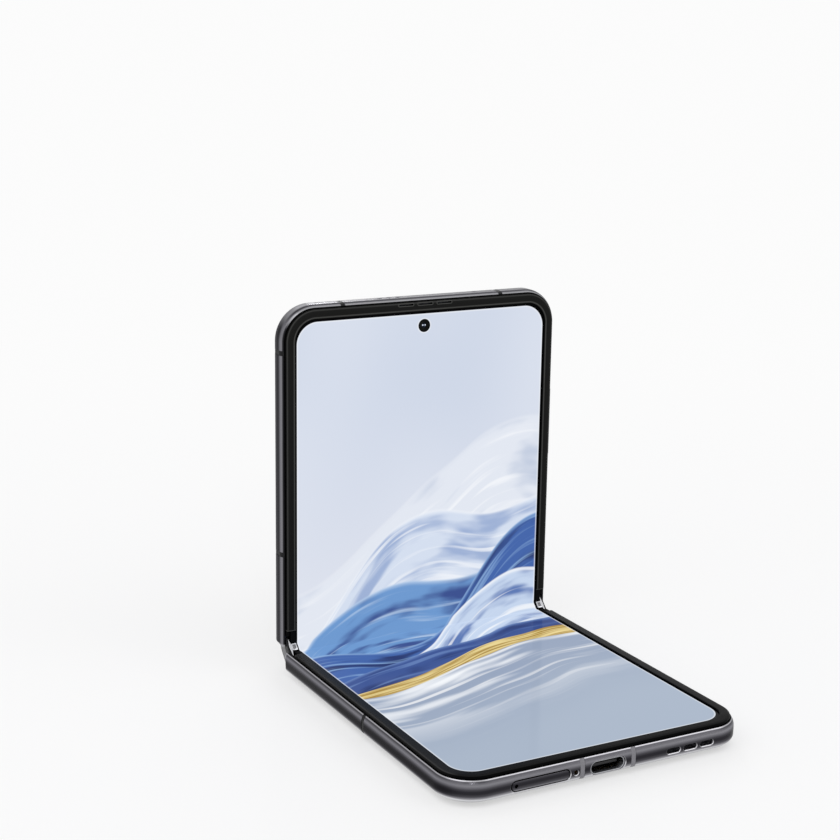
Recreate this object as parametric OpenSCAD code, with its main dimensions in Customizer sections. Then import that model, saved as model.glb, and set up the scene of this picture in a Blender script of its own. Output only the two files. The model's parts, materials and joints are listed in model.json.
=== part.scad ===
// Foldable smartphone, half folded: the base lies on its back and the lid stands up at a right angle.
// Each half is modelled in its own frame: x along the fold, u from the fold plane to the far end,
// w from the flat back up to the bezel. The spine between them uses v across the fold instead of u.

/* [Body] */
// Width of the phone, along the fold
body_w = 76.5; // [75:0.25:80]
// Length of each half, from the fold plane to its far end
half_len = 85.2; // [84.6:0.2:90]
// Thickness of each half, from its flat back to the top of the bezel
half_t = 7; // [6.9:0.1:7.6]
// Radius of the outer corners, seen from the front
corner_r = 8.7; // [8:0.1:10]
// Slit between the two halves at the back when the phone is flat
fold_slit = 0.5; // [0.3:0.1:0.8]

/* [Frame] */
// Width of the metal rim, seen from behind
rim_back = 1.35; // [1.2:0.05:1.45]
// Width of the metal rim, seen from the front
rim_front = 0.65; // [0.6:0.05:0.75]
// Thickness of the frame's wall
wall_t = 2.4; // [2.3:0.05:2.7]
// Width of the curved zone along the edges of the back
curve_w = 6; // [5:0.25:7]
// Height that the curved zone climbs
curve_h = 2.6; // [2.3:0.1:2.8]
// Radius of the frame's front edge
front_r = 2.6; // [2.4:0.1:2.7]
// Thickness of the frame's middle plate
mid_t = 0.5; // [0.4:0.05:0.6]
// Width of each antenna band
band_w = 1.2; // [0.8:0.1:1.3]
// Thickness of the side walls beside the spine
fold_wall = 1.2; // [1.1:0.05:1.3]

/* [Back] */
// Thickness of the leather
leather_t = 0.5; // [0.4:0.05:0.6]
// Thickness of the plate under the leather
plate_t = 0.4; // [0.35:0.05:0.5]
// Dark seam between the rim and the leather
seam = 0.35; // [0.25:0.05:0.45]
// Corner radius of the leather beside the fold
leather_corner_r = 3; // [2:0.25:4]
// Width of each metal bar along the fold
bar_w = 2.75; // [2.5:0.05:3.2]

/* [Screen] */
// Height of the bezel above the screen
bezel_rise = 0.45; // [0.4:0.05:0.5]
// Width of the bezel
bezel_w = 2.4; // [2.2:0.1:2.8]
// How much the bezel's edges fall below its middle
bezel_crown = 0.22; // [0.1:0.02:0.26]
// Depth of the bezel's foot below the screen
foot_drop = 0.65; // [0.6:0.05:0.7]
// Groove between the rim and the bezel
groove = 0.3; // [0.2:0.05:0.4]
// Distance from the fold plane at which the bezel starts
bezel_start = 4.5; // [4.2:0.1:5.5]
// Thickness of the screen panel
panel_t = 0.9; // [0.8:0.05:1]
// Thickness of the steel sheet under the panel
support_t = 0.25; // [0.2:0.05:0.3]
// Distance from the fold plane to where the panel is rigid
fold_flex = 8; // [7:0.25:10]

/* [Hinge] */
// Distance of each hinge axis from the fold plane
axis_u = 0.95; // [0.9:0.05:1.1]
// Turn of each hinge joint from flat, as the phone is drawn
fold_turn = 45; // [45]
// Clearance between the spine and the pocket that it turns in
spine_clear = 0.2; // [0.15:0.05:0.25]
// Wall of the spine cover
spine_wall = 0.8; // [0.7:0.05:0.9]
// Distance of each hinge unit's middle from the phone's side
unit_side = 11.25; // [10.75:0.25:14]
// Length of each hinge unit along the fold
unit_len = 12; // [11:0.25:13]
// Width of each hinge arm
arm_w = 3.6; // [3:0.1:4]
// Inner radius of the arms' curved ends
arm_r = 2.7; // [2.65:0.05:2.8]
// Thickness of the arms' curved ends
arm_t = 1; // [0.9:0.05:1.1]
// Running clearance of the arms in their tracks
arm_clear = 0.05; // [0.03:0.01:0.08]
// Radius of the round ends of each fold cap
cap_r = 1.85; // [1.7:0.05:1.95]

/* [Side keys] */
// Length of the volume rocker
rocker_len = 18.9; // [16:0.1:21]
// Distance of the rocker's middle from the fold plane
rocker_u = 49.6; // [48:0.1:52]
// How far the rocker stands out
rocker_out = 0.7; // [0.5:0.05:0.9]
// Length of the power button
power_len = 13.4; // [11:0.1:15]
// Distance of the power button's middle from the fold plane
power_u = 23.3; // [22:0.1:25]
// How far the power button stands out
power_out = 0.3; // [0.2:0.05:0.5]
// Height of the side keys
key_h = 2.1; // [1.6:0.1:2.3]
// Clearance round each key
key_clear = 0.1; // [0.08:0.01:0.14]

/* [Ports] */
// Height of the ports' middle above the back
port_w = 3.3; // [3.25:0.05:3.35]
// Width of the charging port
usb_w = 8.94; // [8.94]
// Height of the charging port
usb_h = 3.16; // [3.16]
// Wall of the charging port's shell
usb_wall = 0.3; // [0.25:0.05:0.35]
// Length of the charging port's shell
usb_len = 7.3; // [6.5:0.1:8]
// Middle of the card tray, across the phone
tray_x = -17; // [-17.5:0.1:-16.8]
// Length of the card tray's face
tray_len = 14.6; // [14:0.1:15]
// Height of the card tray's face
tray_h = 2.4; // [2.2:0.1:2.6]
// Depth of the card tray
tray_depth = 14.4; // [13.8:0.2:14.6]
// Length of each speaker slot
slot_len = 3.6; // [3:0.1:3.8]
// Distance between speaker slots
slot_pitch = 4.5; // [4.3:0.1:4.8]
// Distance of the speaker slots' middle from the phone's side
slot_side = 16.45; // [16:0.05:17.5]
// Height of each speaker slot
slot_h = 1.2; // [0.9:0.1:1.4]

/* [Cover window] */
// Height of the cover glass, along the phone
glass_h = 37.4; // [36.4:0.1:38]
// Distance of the glass's middle from the far end
glass_end = 24.3; // [23.8:0.1:25.2]
// Distance of the glass's round end from the phone's side
glass_round_side = 6.59; // [6.2:0.02:7.2]
// Distance of the glass's straight edge from the phone's side
glass_side = 6.38; // [6:0.02:7]
// Corner radius at that edge
glass_corner_r = 3.2; // [2.6:0.1:4]
// Thickness of the glass
glass_t = 0.6; // [0.5:0.05:0.7]
// Height of the leather plateau round the glass
plateau_h = 0.55; // [0.45:0.05:0.65]
// Width of the leather lip round the glass
lip_w = 1.6; // [1.3:0.1:1.8]
// Black margin between the cover screen and the glass's round end
cover_margin = 0.7; // [0.5:0.1:1.2]

/* [Cameras] */
// Distance of the rear cameras from the glass's straight edge
cam_side = 9.27; // [8.8:0.01:9.8]
// Distance between the rear cameras
cam_pitch = 17.4; // [17:0.1:18]
// Outer radius of each camera ring
ring_r = 7.4; // [7:0.1:7.6]
// Width of each camera ring
ring_w = 0.9; // [0.7:0.05:1.1]
// How far each ring stands out of the glass
ring_h = 0.85; // [0.6:0.05:1.1]
// Radius of each rear lens
lens_r = 2.3; // [2:0.1:2.6]
// Width of the flash window
flash_w = 3.2; // [2.8:0.1:3.6]
// Length of the flash window
flash_len = 7.6; // [7:0.1:8.2]
// Distance of the flash window from the rear cameras
flash_side = 11.4; // [11:0.1:11.6]
// Distance of the selfie camera from the far end
selfie_end = 7; // [6.8:0.1:7.4]
// Radius of the selfie camera's hole in the panel
selfie_r = 1.55; // [1.4:0.05:1.7]

/* [Inside] */
// Gap round parts that lie loose beside each other
part_gap = 0.05; // [0.03:0.01:0.08]
// Thickness of the circuit boards
board_t = 0.6; // [0.5:0.05:0.7]
// Distance of both batteries from the phone's sides
battery_side = 5.25; // [4.75:0.25:8]
// Start of both batteries, from the fold plane
battery_u = 13; // [12.6:0.2:15]
// Distance of both batteries from the circuit boards
battery_end = 1; // [0.5:0.1:3]
// Radius of the case screws
screw_r = 0.6; // [0.5:0.05:0.7]

/* [Hidden] */
$fn = 64;

// Colours, as the photograph shows them
metal_colour = [0.40, 0.40, 0.43];
bar_colour = [0.46, 0.46, 0.49];
leather_colour = [0.2, 0.2, 0.2];
bezel_colour = [0.16, 0.16, 0.17];
black = [0.05, 0.05, 0.06];
silver = [0.78, 0.78, 0.8];
screen_colour = [0.72, 0.78, 0.88];
board_colour = [0.08, 0.25, 0.16];
battery_colour = [0.15, 0.16, 0.18];
gold = [0.85, 0.68, 0.32];
steel = [0.6, 0.61, 0.63];

// Heights in each half, from the back up
skin_t = leather_t + plate_t;
axis_w = half_t - bezel_rise;
panel_w = axis_w - panel_t;
support_w = panel_w - support_t;
mid_w = support_w - mid_t;
ledge_w = axis_w - foot_drop;
front_w = half_t - front_r;

// Distances in from the outline
edge_d = rim_back + seam;
screen_d = wall_t + part_gap;
bezel_d = rim_front + groove;
bezel_end_d = bezel_d + bezel_w;

// Places along each half
bar_u = fold_slit / 2;
leather_u = bar_u + bar_w + part_gap;
spine_r = axis_w - skin_t - spine_clear;
pocket_r = spine_r + spine_clear;
plate_clear = 0.2;
mid_u = axis_u + pocket_r + plate_clear;
origin_u = half_len / 2;
wall_u = half_len - wall_t;
glass_u = half_len - glass_end;
selfie_u = half_len - selfie_end;

// Places across the phone
side_x = body_w / 2;
unit_x = side_x - unit_side;
slot_x = side_x - slot_side;
glass_x = glass_round_side + glass_h / 2 - side_x;
glass_edge = side_x - glass_side;
cam_x = glass_edge - cam_side;
flash_x = cam_x - flash_side;
battery_x = side_x - battery_side;

// Height of the back surface at a distance in from the outline
function back_w(d) = curve_h * (1 - cos(asin(1 - min(d, curve_w) / curve_w)));

// Points of the curved back edge between two distances, lifted by a thickness
curve_steps = 6;
function back_curve(d0, d1, lift) = [
    for (i = [0:curve_steps])
    let (a0 = asin(1 - d0 / curve_w), a1 = asin(1 - d1 / curve_w), a = a0 + (a1 - a0) * i / curve_steps)
    [curve_w * (1 - sin(a)), curve_h * (1 - cos(a)) + lift]
];

// Outline of the frame's wall
front_turn = acos((front_r - rim_front) / front_r);
frame_profile = concat(
    back_curve(rim_back, 0, 0),
    [for (i = [0:curve_steps]) let (a = front_turn * i / curve_steps)
        [front_r * (1 - cos(a)), front_w + front_r * sin(a)]],
    [[rim_front, ledge_w], [wall_t, ledge_w]],
    back_curve(wall_t, edge_d, skin_t + part_gap),
    [[rim_back, back_w(edge_d) + skin_t + part_gap]]
);

// Outline of the bezel: a foot beside the panel and a crowned lip over its edge
bezel_steps = 8;
bezel_gap = 0.05;
bezel_profile = concat(
    [[bezel_d, ledge_w]],
    [for (i = [0:bezel_steps]) let (t = i / bezel_steps)
        [bezel_d + bezel_w * t, half_t - bezel_crown * pow(2 * t - 1, 4)]],
    [[bezel_end_d, axis_w + bezel_gap], [wall_t, axis_w + bezel_gap], [wall_t, ledge_w]]
);

gasket_h = 0.3;
gasket_profile = [
    [rim_front, ledge_w], [bezel_d, ledge_w], [bezel_d, ledge_w + gasket_h], [rim_front, ledge_w + gasket_h]
];

// Places a half's own frame in the phone
module base_half() {
    translate([0, origin_u, 0]) mirror([0, 1, 0]) children();
}
module spine_part() {
    translate([0, origin_u - axis_u, axis_w]) rotate([fold_turn, 0, 0])
        translate([0, axis_u, -axis_w]) children();
}
module lid_half() {
    spine_part() translate([0, axis_u, axis_w]) rotate([fold_turn, 0, 0])
        translate([0, -axis_u, -axis_w]) children();
}

// Runs a profile round the two sides and the far end of a half
module round_half(profile, from_u) {
    run = half_len - corner_r - from_u;
    for (s = [-1, 1]) {
        translate([0, from_u + run, 0]) rotate([90, 0, 0]) linear_extrude(run)
            polygon([for (p = profile) [s * (body_w / 2 - p[0]), p[1]]]);
        translate([s * (body_w / 2 - corner_r), half_len - corner_r, 0])
            mirror([s < 0 ? 1 : 0, 0, 0]) rotate_extrude(angle = 90)
                polygon([for (p = profile) [corner_r - p[0], p[1]]]);
    }
    translate([corner_r - body_w / 2, 0, 0]) rotate([90, 0, 90])
        linear_extrude(body_w - 2 * corner_r)
            polygon([for (p = profile) [half_len - p[0], p[1]]]);
}

// A curved skin over the whole back of a half
module skin(lift, t, from_u) {
    profile = concat(
        back_curve(edge_d, curve_w, lift), [[corner_r, lift], [corner_r, lift + t]],
        back_curve(curve_w, edge_d, lift + t)
    );
    round_half(profile, from_u);
    translate([corner_r - body_w / 2, from_u, lift])
        cube([body_w - 2 * corner_r, half_len - corner_r - from_u, t]);
}

// Outline of a half, inset by a distance, from a place along it
module inset_2d(inset, from_u) {
    r = corner_r - inset;
    x = body_w / 2 - inset;
    u = half_len - inset;
    translate([-x, from_u]) square([2 * x, u - r - from_u]);
    translate([r - x, from_u]) square([2 * (x - r), u - from_u]);
    for (s = [-1, 1]) translate([s * (x - r), u - r]) circle(r);
}

// Outline that ends the leather beside the fold, with round corners
module leather_2d(grow) {
    x = body_w / 2 - edge_d + grow;
    u = leather_u - grow;
    r = leather_corner_r;
    translate([-x, u + r]) square([2 * x, half_len]);
    translate([r - x, u]) square([2 * (x - r), r]);
    for (s = [-1, 1]) translate([s * (x - r), u + r]) circle(r);
}

// A slab with a rectangular plan in a half
module block(x0, x1, u0, u1, w0, w1) {
    translate([x0, u0, w0]) cube([x1 - x0, u1 - u0, w1 - w0]);
}

// A bar with round ends, lying across the far end face: length along x, height along w
module end_pill(x, w, len, h, u0, u1) {
    translate([x, u1, w]) rotate([90, 0, 0]) linear_extrude(u1 - u0) {
        square([len - h, h], center = true);
        for (s = [-1, 1]) translate([s * (len - h) / 2, 0]) circle(h / 2);
    }
}

// A bar with round ends on the right side face: length along u, height along w
module side_pill(u, w, len, h, x0, x1) {
    translate([x0, u, w]) rotate([90, 0, 90]) linear_extrude(x1 - x0) {
        square([len - h, h], center = true);
        for (s = [-1, 1]) translate([s * (len - h) / 2, 0]) circle(h / 2);
    }
}

// Round bar along w in a half
module post(x, u, r, w0, w1) {
    translate([x, u, w0]) cylinder(r = r, h = w1 - w0);
}

// Spine body: two quarter turns about the hinge axes, joined by a flat, with tapered ends
spine_end_gap = 0.15;
spine_end_wall = 0.4;
taper_len = 2.5;
spine_half = body_w / 2 - fold_wall - spine_end_gap;
spine_end_r = axis_w - back_w(fold_wall) - spine_end_wall - spine_clear;
taper_x = spine_half - taper_len;
function spine_profile(grow) = [
    [0, -spine_half - grow], [spine_end_r + grow, -spine_half - grow],
    [spine_r + grow, -taper_x], [spine_r + grow, taper_x],
    [spine_end_r + grow, spine_half + grow], [0, spine_half + grow]
];
module spine_body(grow, top_w) {
    difference() {
        union() {
            for (s = [-1, 1])
                translate([0, s * axis_u, axis_w]) mirror([0, s < 0 ? 1 : 0, 0]) rotate([0, 90, 0])
                    rotate_extrude(angle = 90) polygon(spine_profile(grow));
            translate([0, axis_u, axis_w]) rotate([90, 0, 0]) linear_extrude(2 * axis_u)
                polygon([for (p = spine_profile(grow)) [p[1], -p[0]]]);
        }
        block(-body_w, body_w, -half_len, half_len, top_w, 2 * half_t);
    }
}

// Pocket of a half that the spine turns in, and the notches for the fold caps
cap_clear = 0.1;
cap_x0 = body_w / 2 - bezel_end_d;
cap_x1 = body_w / 2 - bezel_d;
cap_bar_w = 0.95;
module fold_pocket() {
    translate([0, axis_u, axis_w]) rotate([0, 90, 0])
        rotate_extrude() polygon(spine_profile(spine_clear));
    for (s = [-1, 1])
        translate([s * (cap_x0 + cap_x1) / 2, axis_u, axis_w]) rotate([0, 90, 0])
            cylinder(r = cap_r + cap_clear, h = cap_x1 - cap_x0 + 2 * cap_clear, center = true);
}

// Slots in the frame's wall for the antenna bands
module band_slots(end_x, left_u, right_u) {
    for (x = end_x) block(x - band_w / 2, x + band_w / 2, half_len - wall_t, half_len + 1, 0, half_t);
    for (u = left_u)
        block(-body_w / 2 - 1, wall_t - body_w / 2, u - band_w / 2, u + band_w / 2, 0, half_t);
    for (u = right_u)
        block(body_w / 2 - wall_t, body_w / 2 + 1, u - band_w / 2, u + band_w / 2, 0, half_t);
}

// Hinge arm places: the two arms of a unit lie beside each other
arm_gap = 0.8;
arm_step = arm_w + arm_gap;
function arm_x(s, side) = s * unit_x + side * arm_step / 2;
leaf_bend = 0.6;
leaf_len = 3.8;
leaf_u = mid_u + leaf_bend;
leaf_end_u = leaf_u + leaf_len;
leaf_screw_u = leaf_u + leaf_len / 2;
leaf_t = 0.5;
arm_screw_r = 0.5;

// Frame of a half: wall, middle plate and pocket for the spine
module half_frame(end_x, left_u, right_u, arm_side) {
    difference() {
        union() {
            difference() {
                round_half(frame_profile, bar_u);
                band_slots(end_x, left_u, right_u);
            }
            translate([0, 0, mid_w]) linear_extrude(mid_t) inset_2d(wall_t, mid_u);
        }
        fold_pocket();
        for (s = [-1, 1]) {
            block(arm_x(s, arm_side) - arm_w / 2 - part_gap, arm_x(s, arm_side) + arm_w / 2 + part_gap,
                mid_u - 1, leaf_u + part_gap, mid_w - 1, support_w + 1);
            post(arm_x(s, arm_side), leaf_screw_u, arm_screw_r, mid_w - 1, half_t);
        }
        children();
    }
}
module half_bands(end_x, left_u, right_u) {
    intersection() {
        round_half(frame_profile, bar_u);
        band_slots(end_x, left_u, right_u);
    }
}
module half_hinge_bar() {
    difference() {
        intersection() {
            skin(0, skin_t, bar_u);
            block(-body_w, body_w, 0, leather_u + leather_corner_r, -1, half_t);
        }
        translate([0, 0, -1]) linear_extrude(half_t) leather_2d(part_gap);
        fold_pocket();
    }
}
module half_skin(lift, t) {
    intersection() {
        skin(lift, t, bar_u);
        translate([0, 0, -1]) linear_extrude(half_t) leather_2d(0);
    }
}
module half_panel() {
    translate([0, 0, panel_w]) linear_extrude(panel_t) inset_2d(screen_d, fold_flex);
}
// The steel sheet starts beside the fold, so that it carries the bending part of the screen
sheet_u = 1.6;
glue_t = 0.02;
module half_sheet() {
    difference() {
        translate([0, 0, support_w + glue_t]) linear_extrude(support_t - glue_t) inset_2d(screen_d, sheet_u);
        for (s = [-1, 1]) block(s > 0 ? cap_x0 - part_gap : -body_w, s > 0 ? body_w : part_gap - cap_x0,
            0, axis_u + cap_r + 2 * cap_clear, 0, half_t);
    }
}
// The screen's bend keeps its length between the two rigid panels
leg = 2 * axis_u * cos(fold_turn);
bend_r = 2 * (leg - axis_u) / (2 - PI / 2);
bend_u = axis_u - leg + bend_r;
bend_steps = 12;
function bend_curve(r, from, to) = [
    for (i = [0:bend_steps]) let (a = from + (to - from) * i / bend_steps)
        [bend_u - r * sin(a), axis_w + bend_r - r * cos(a)]
];
module half_bend() {
    x = body_w / 2 - screen_d;
    translate([-x, 0, 0]) rotate([90, 0, 90]) linear_extrude(2 * x) polygon(concat(
        [[fold_flex, axis_w]], bend_curve(bend_r, 0, fold_turn),
        bend_curve(bend_r + panel_t, fold_turn, 0), [[fold_flex, panel_w]]
    ));
}

// A hinge arm: a curved end that slides in the spine's track, and a leaf screwed under the middle plate
arm_back = 60;
arm_front = 66;
module arms(side) {
    for (s = [-1, 1]) translate([arm_x(s, side), 0, 0]) difference() {
        union() {
            intersection() {
                translate([0, axis_u, axis_w]) rotate([0, 90, 0]) rotate([0, 0, -arm_back])
                    rotate_extrude(angle = arm_back + arm_front)
                        translate([arm_r, -arm_w / 2]) square([arm_t, arm_w]);
                block(-arm_w, arm_w, -half_t, half_len, 0, support_w);
            }
            block(-arm_w / 2, arm_w / 2, axis_u + arm_r * sin(arm_front), leaf_u, mid_w, support_w);
            block(-arm_w / 2, arm_w / 2, leaf_u - leaf_t, leaf_u, mid_w - leaf_t, support_w);
            block(-arm_w / 2, arm_w / 2, leaf_u - leaf_t, leaf_end_u, mid_w - leaf_t, mid_w);
        }
        post(0, leaf_screw_u, arm_screw_r, 0, half_t);
    }
}
screw_head_t = 0.4;
module arm_screws(side) {
    for (s = [-1, 1]) {
        post(arm_x(s, side), leaf_screw_u, arm_screw_r, mid_w - leaf_t, support_w - part_gap);
        post(arm_x(s, side), leaf_screw_u, 2 * arm_screw_r, mid_w - leaf_t - screw_head_t, mid_w - leaf_t);
    }
}

// Room inside a half for batteries and boards
inside_w0 = skin_t + part_gap;
inside_w1 = mid_w - part_gap;

// Base half

sub_board_len = 15;
mic_gap = 1.5;
mic_x = tray_x + tray_len / 2 + mic_gap;
mic_hole_r = 0.55;
eject_r = 0.4;
eject_x = tray_x - tray_len / 2 + tray_h / 2;
base_end_bands = [-6.6, 6.6];
base_left_bands = [43.4];
board_strip = 2.4;
base_screw_u = wall_u - sub_board_len + board_strip / 2;
screw_side = 7.25;
inner_screw_x = 7.2;
base_screw_places = [
    for (x = [screw_side - side_x, -inner_screw_x, inner_screw_x, side_x - screw_side]) [x, base_screw_u]
];

module base_screw_holes(r) {
    for (p = base_screw_places) post(p[0], p[1], r, 0, support_w - part_gap);
}
module base_frame() color(metal_colour) base_half()
    half_frame(base_end_bands, base_left_bands, [], -1) {
        end_pill(0, port_w, usb_w + 2 * part_gap, usb_h + 2 * part_gap, wall_u - 1, half_len + 1);
        end_pill(tray_x, port_w, tray_len + 2 * key_clear, tray_h + 2 * key_clear, wall_u - 1, half_len + 1);
        for (i = [-1:1])
            end_pill(slot_x + i * slot_pitch, port_w, slot_len, slot_h, wall_u - 1, half_len + 1);
        translate([mic_x, half_len + 1, port_w]) rotate([90, 0, 0]) cylinder(r = mic_hole_r, h = wall_t + 2);
        base_screw_holes(screw_r);
    }
module base_antenna_bands() color(black) base_half() half_bands(base_end_bands, base_left_bands, []);
module base_hinge_bar() color(bar_colour) base_half() half_hinge_bar();
module base_back_plate() color(black) base_half() half_skin(leather_t, plate_t);
module base_leather() color(leather_colour) base_half() half_skin(0, leather_t);
module base_bezel() color(bezel_colour) base_half() round_half(bezel_profile, bezel_start);
module base_gasket() color(black) base_half() round_half(gasket_profile, bezel_start);
module display_base() color(screen_colour) base_half() half_panel();
module base_support_plate() color(steel) base_half() half_sheet();
module display_fold_base() color(screen_colour) base_half() half_bend();
module base_battery() color(battery_colour) base_half()
    block(-battery_x, battery_x, battery_u, wall_u - sub_board_len - battery_end, inside_w0, inside_w1);

sub_board_w1 = port_w - usb_h / 2 - part_gap;
sub_board_w0 = sub_board_w1 - board_t;
sub_board_side = 6.7;
sub_board_x0 = sub_board_side - side_x;
sub_u0 = wall_u - sub_board_len;
sub_u1 = wall_u - part_gap;
// The board ends where the curved back would meet it
board_back = 2;
sub_board_u1 = wall_u - board_back;
speaker_wall = 1.6;
speaker_x0 = slot_x - 1.5 * slot_pitch - speaker_wall;
speaker_side = 6.9;
speaker_x1 = side_x - speaker_side;
speaker_rise = 0.45;
speaker_w0 = inside_w0 + speaker_rise;
mesh_t = 0.35;
module sub_board() color(board_colour) base_half() difference() {
    union() {
        block(sub_board_x0, speaker_x0 - part_gap, sub_u0, sub_board_u1, sub_board_w0, sub_board_w1);
        block(0, -sub_board_x0, sub_u0, sub_u0 + board_strip, sub_board_w0, sub_board_w1);
    }
    base_screw_holes(screw_r);
}
usb_inset = 0.3;
usb_back_u = half_len - usb_inset - usb_len;
tongue_inset = 1.1;
module usb_receptacle() color(steel) base_half() difference() {
    end_pill(0, port_w, usb_w, usb_h, usb_back_u, half_len - usb_inset);
    end_pill(0, port_w, usb_w - 2 * usb_wall, usb_h - 2 * usb_wall, usb_back_u + 2 * usb_wall, half_len);
}
tongue_w = 6.7;
tongue_t = 0.7;
module usb_tongue() color(black) base_half()
    block(-tongue_w / 2, tongue_w / 2, usb_back_u + 2 * usb_wall, half_len - usb_inset - tongue_inset,
        port_w - tongue_t / 2, port_w + tongue_t / 2);
module speaker_box() color(black) base_half() difference() {
    block(speaker_x0, speaker_x1, sub_u0 + board_strip + part_gap, sub_u1 - mesh_t - part_gap,
        speaker_w0, inside_w1);
    for (i = [-1:1])
        end_pill(slot_x + i * slot_pitch, port_w, slot_len, slot_h, wall_u - speaker_wall - 1, half_len);
}
module speaker_mesh() color(steel) base_half()
    block(slot_x - 1.5 * slot_pitch, slot_x + 1.5 * slot_pitch, sub_u1 - mesh_t, sub_u1,
        port_w - slot_h, port_w + slot_h);
mic_body = 2;
mic_len = 2.6;
module bottom_mic() color(gold) base_half() difference() {
    block(mic_x - mic_body / 2, mic_x + mic_body / 2, sub_u1 - mic_len - part_gap, sub_u1 - part_gap,
        sub_board_w1, port_w + mic_body / 2);
    translate([mic_x, half_len, port_w]) rotate([90, 0, 0]) cylinder(r = mic_hole_r, h = wall_t + mic_body / 2);
}
tray_t = 0.8;
tray_w0 = port_w - tray_t / 2;
tray_u0 = half_len - tray_depth;
tray_left = 1.9;
tray_right = 0.6;
tray_x0 = tray_x - tray_len / 2 + tray_left;
tray_x1 = tray_x + tray_len / 2 - tray_right;
tray_rim = 1.2;
socket_wall = 0.2;
socket_gap = 0.15;
socket_back = 0.6;
card_t = 0.67;
module sim_socket() color(steel) base_half() difference() {
    block(tray_x0 - socket_gap - socket_wall, tray_x1 + socket_gap + socket_wall,
        tray_u0 - socket_back - socket_wall, wall_u - socket_wall,
        sub_board_w1, port_w + tray_t / 2 + socket_gap + socket_wall);
    block(tray_x0 - socket_gap, tray_x1 + socket_gap, tray_u0 - socket_back, half_len,
        tray_w0 - socket_gap, port_w + tray_t / 2 + socket_gap);
}
motor_gap = 0.6;
motor_w = 4.8;
motor_len = 8.4;
motor_x0 = tray_x0 - socket_gap - socket_wall - motor_gap - motor_w;
motor_u0 = sub_u0 + board_strip + 2 * motor_gap;
module vibration_motor() color(steel) base_half()
    block(motor_x0, motor_x0 + motor_w, motor_u0, motor_u0 + motor_len, sub_board_w1, inside_w1);
module card_recess(gap) {
    block(tray_x0 + tray_rim - gap, tray_x1 - tray_rim + gap, tray_u0 + tray_rim - gap,
        wall_u - tray_rim + gap, tray_w0 + tray_t - card_t, tray_w0 + tray_t);
}
tray_face_u = wall_u + 0.2;
module sim_tray() color(metal_colour) base_half() difference() {
    union() {
        intersection() {
            end_pill(tray_x, port_w, tray_len, tray_h, tray_face_u, half_len);
            round_half(frame_profile, bar_u);
        }
        block(tray_x0, tray_x1, tray_u0, tray_face_u + 0.2, tray_w0, tray_w0 + tray_t);
    }
    card_recess(part_gap);
    translate([eject_x, half_len + 1, port_w]) rotate([90, 0, 0]) cylinder(r = eject_r, h = wall_t + 2);
}
module sim_card() color(gold) base_half() card_recess(0);
base_head_t = 0.1;
module base_screws() color(steel) base_half() {
    for (p = base_screw_places) {
        post(p[0], p[1], screw_r, sub_board_w0, support_w - part_gap);
        post(p[0], p[1], 1.8 * screw_r, sub_board_w0 - base_head_t, sub_board_w0);
    }
    arm_screws(-1);
}
module hinge_arms_base() color(steel) base_half() arms(-1);

// Spine

cover_top = mid_w - plate_clear;
bracket_top = cover_top - plate_clear;
module hinge_spine() color(bar_colour) spine_part() difference() {
    spine_body(0, cover_top);
    spine_body(-spine_wall, half_t);
    for (s = [-1, 1]) post(s * unit_x, 0, screw_r, 0, half_t);
}
track_turn = 89;
module hinge_brackets() color(steel) spine_part() for (s = [-1, 1]) difference() {
    intersection() {
        spine_body(-spine_wall - part_gap, bracket_top);
        block(s * unit_x - unit_len / 2, s * unit_x + unit_len / 2, -half_t, half_t, 0, half_t);
    }
    for (side = [-1, 1])
        translate([arm_x(s, side), side * axis_u, axis_w]) rotate([0, 90, 0]) rotate([0, 0, -track_turn])
            rotate_extrude(angle = 2 * track_turn) translate([arm_r - arm_clear, -arm_w / 2 - arm_clear])
                square([arm_t + 2 * arm_clear, arm_w + 2 * arm_clear]);
}
cap_lift = 0.15;
cap_top = half_t - 0.05;
module hinge_caps() color(silver) spine_part() for (s = [-1, 1]) {
    x0 = s > 0 ? cap_x1 - cap_bar_w : -cap_x1;
    // bar along the outer edge, with a round end about each hinge axis
    difference() {
        translate([x0, 0, axis_w]) rotate([90, 0, 90]) linear_extrude(cap_bar_w) {
            for (v = [-1, 1]) translate([v * axis_u, 0]) circle(cap_r);
            square([2 * axis_u, 2 * cap_r], center = true);
        }
        block(-body_w, body_w, -half_t, half_t, 0, cover_top);
        block(-body_w, body_w, -half_t, half_t, cap_top, 2 * half_t);
    }
    // stem towards the screen
    block(s > 0 ? cap_x0 : -cap_x1 + cap_bar_w, s > 0 ? cap_x1 - cap_bar_w : -cap_x0,
        part_gap - axis_u, axis_u - part_gap, axis_w + cap_lift, cap_top);
}
spine_floor = axis_w - spine_r + spine_wall;
shaft_r = 0.55;
shaft_len = 11;
shaft_w = spine_floor + 1.5;
spring_r = 1.1;
spring_t = 1.4;
spring_pitch = 2.2;
shaft_v = 2;
unit_in_x = unit_x - unit_len / 2;
module hinge_shafts() color(steel) spine_part() for (s = [-1, 1]) for (v = [-1, 1])
    translate([s > 0 ? unit_in_x - shaft_len : -unit_in_x, v * shaft_v, shaft_w]) rotate([0, 90, 0])
        cylinder(r = shaft_r, h = shaft_len);
module hinge_springs() color(silver) spine_part() for (s = [-1, 1]) for (v = [-1, 1]) for (i = [1:4])
    translate([s * (unit_in_x + spring_t / 2 - spring_pitch * i), v * shaft_v, shaft_w]) rotate([0, 90, 0])
        difference() {
            cylinder(r = spring_r, h = spring_t, center = true);
            cylinder(r = shaft_r, h = 2 * spring_t, center = true);
        }

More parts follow.
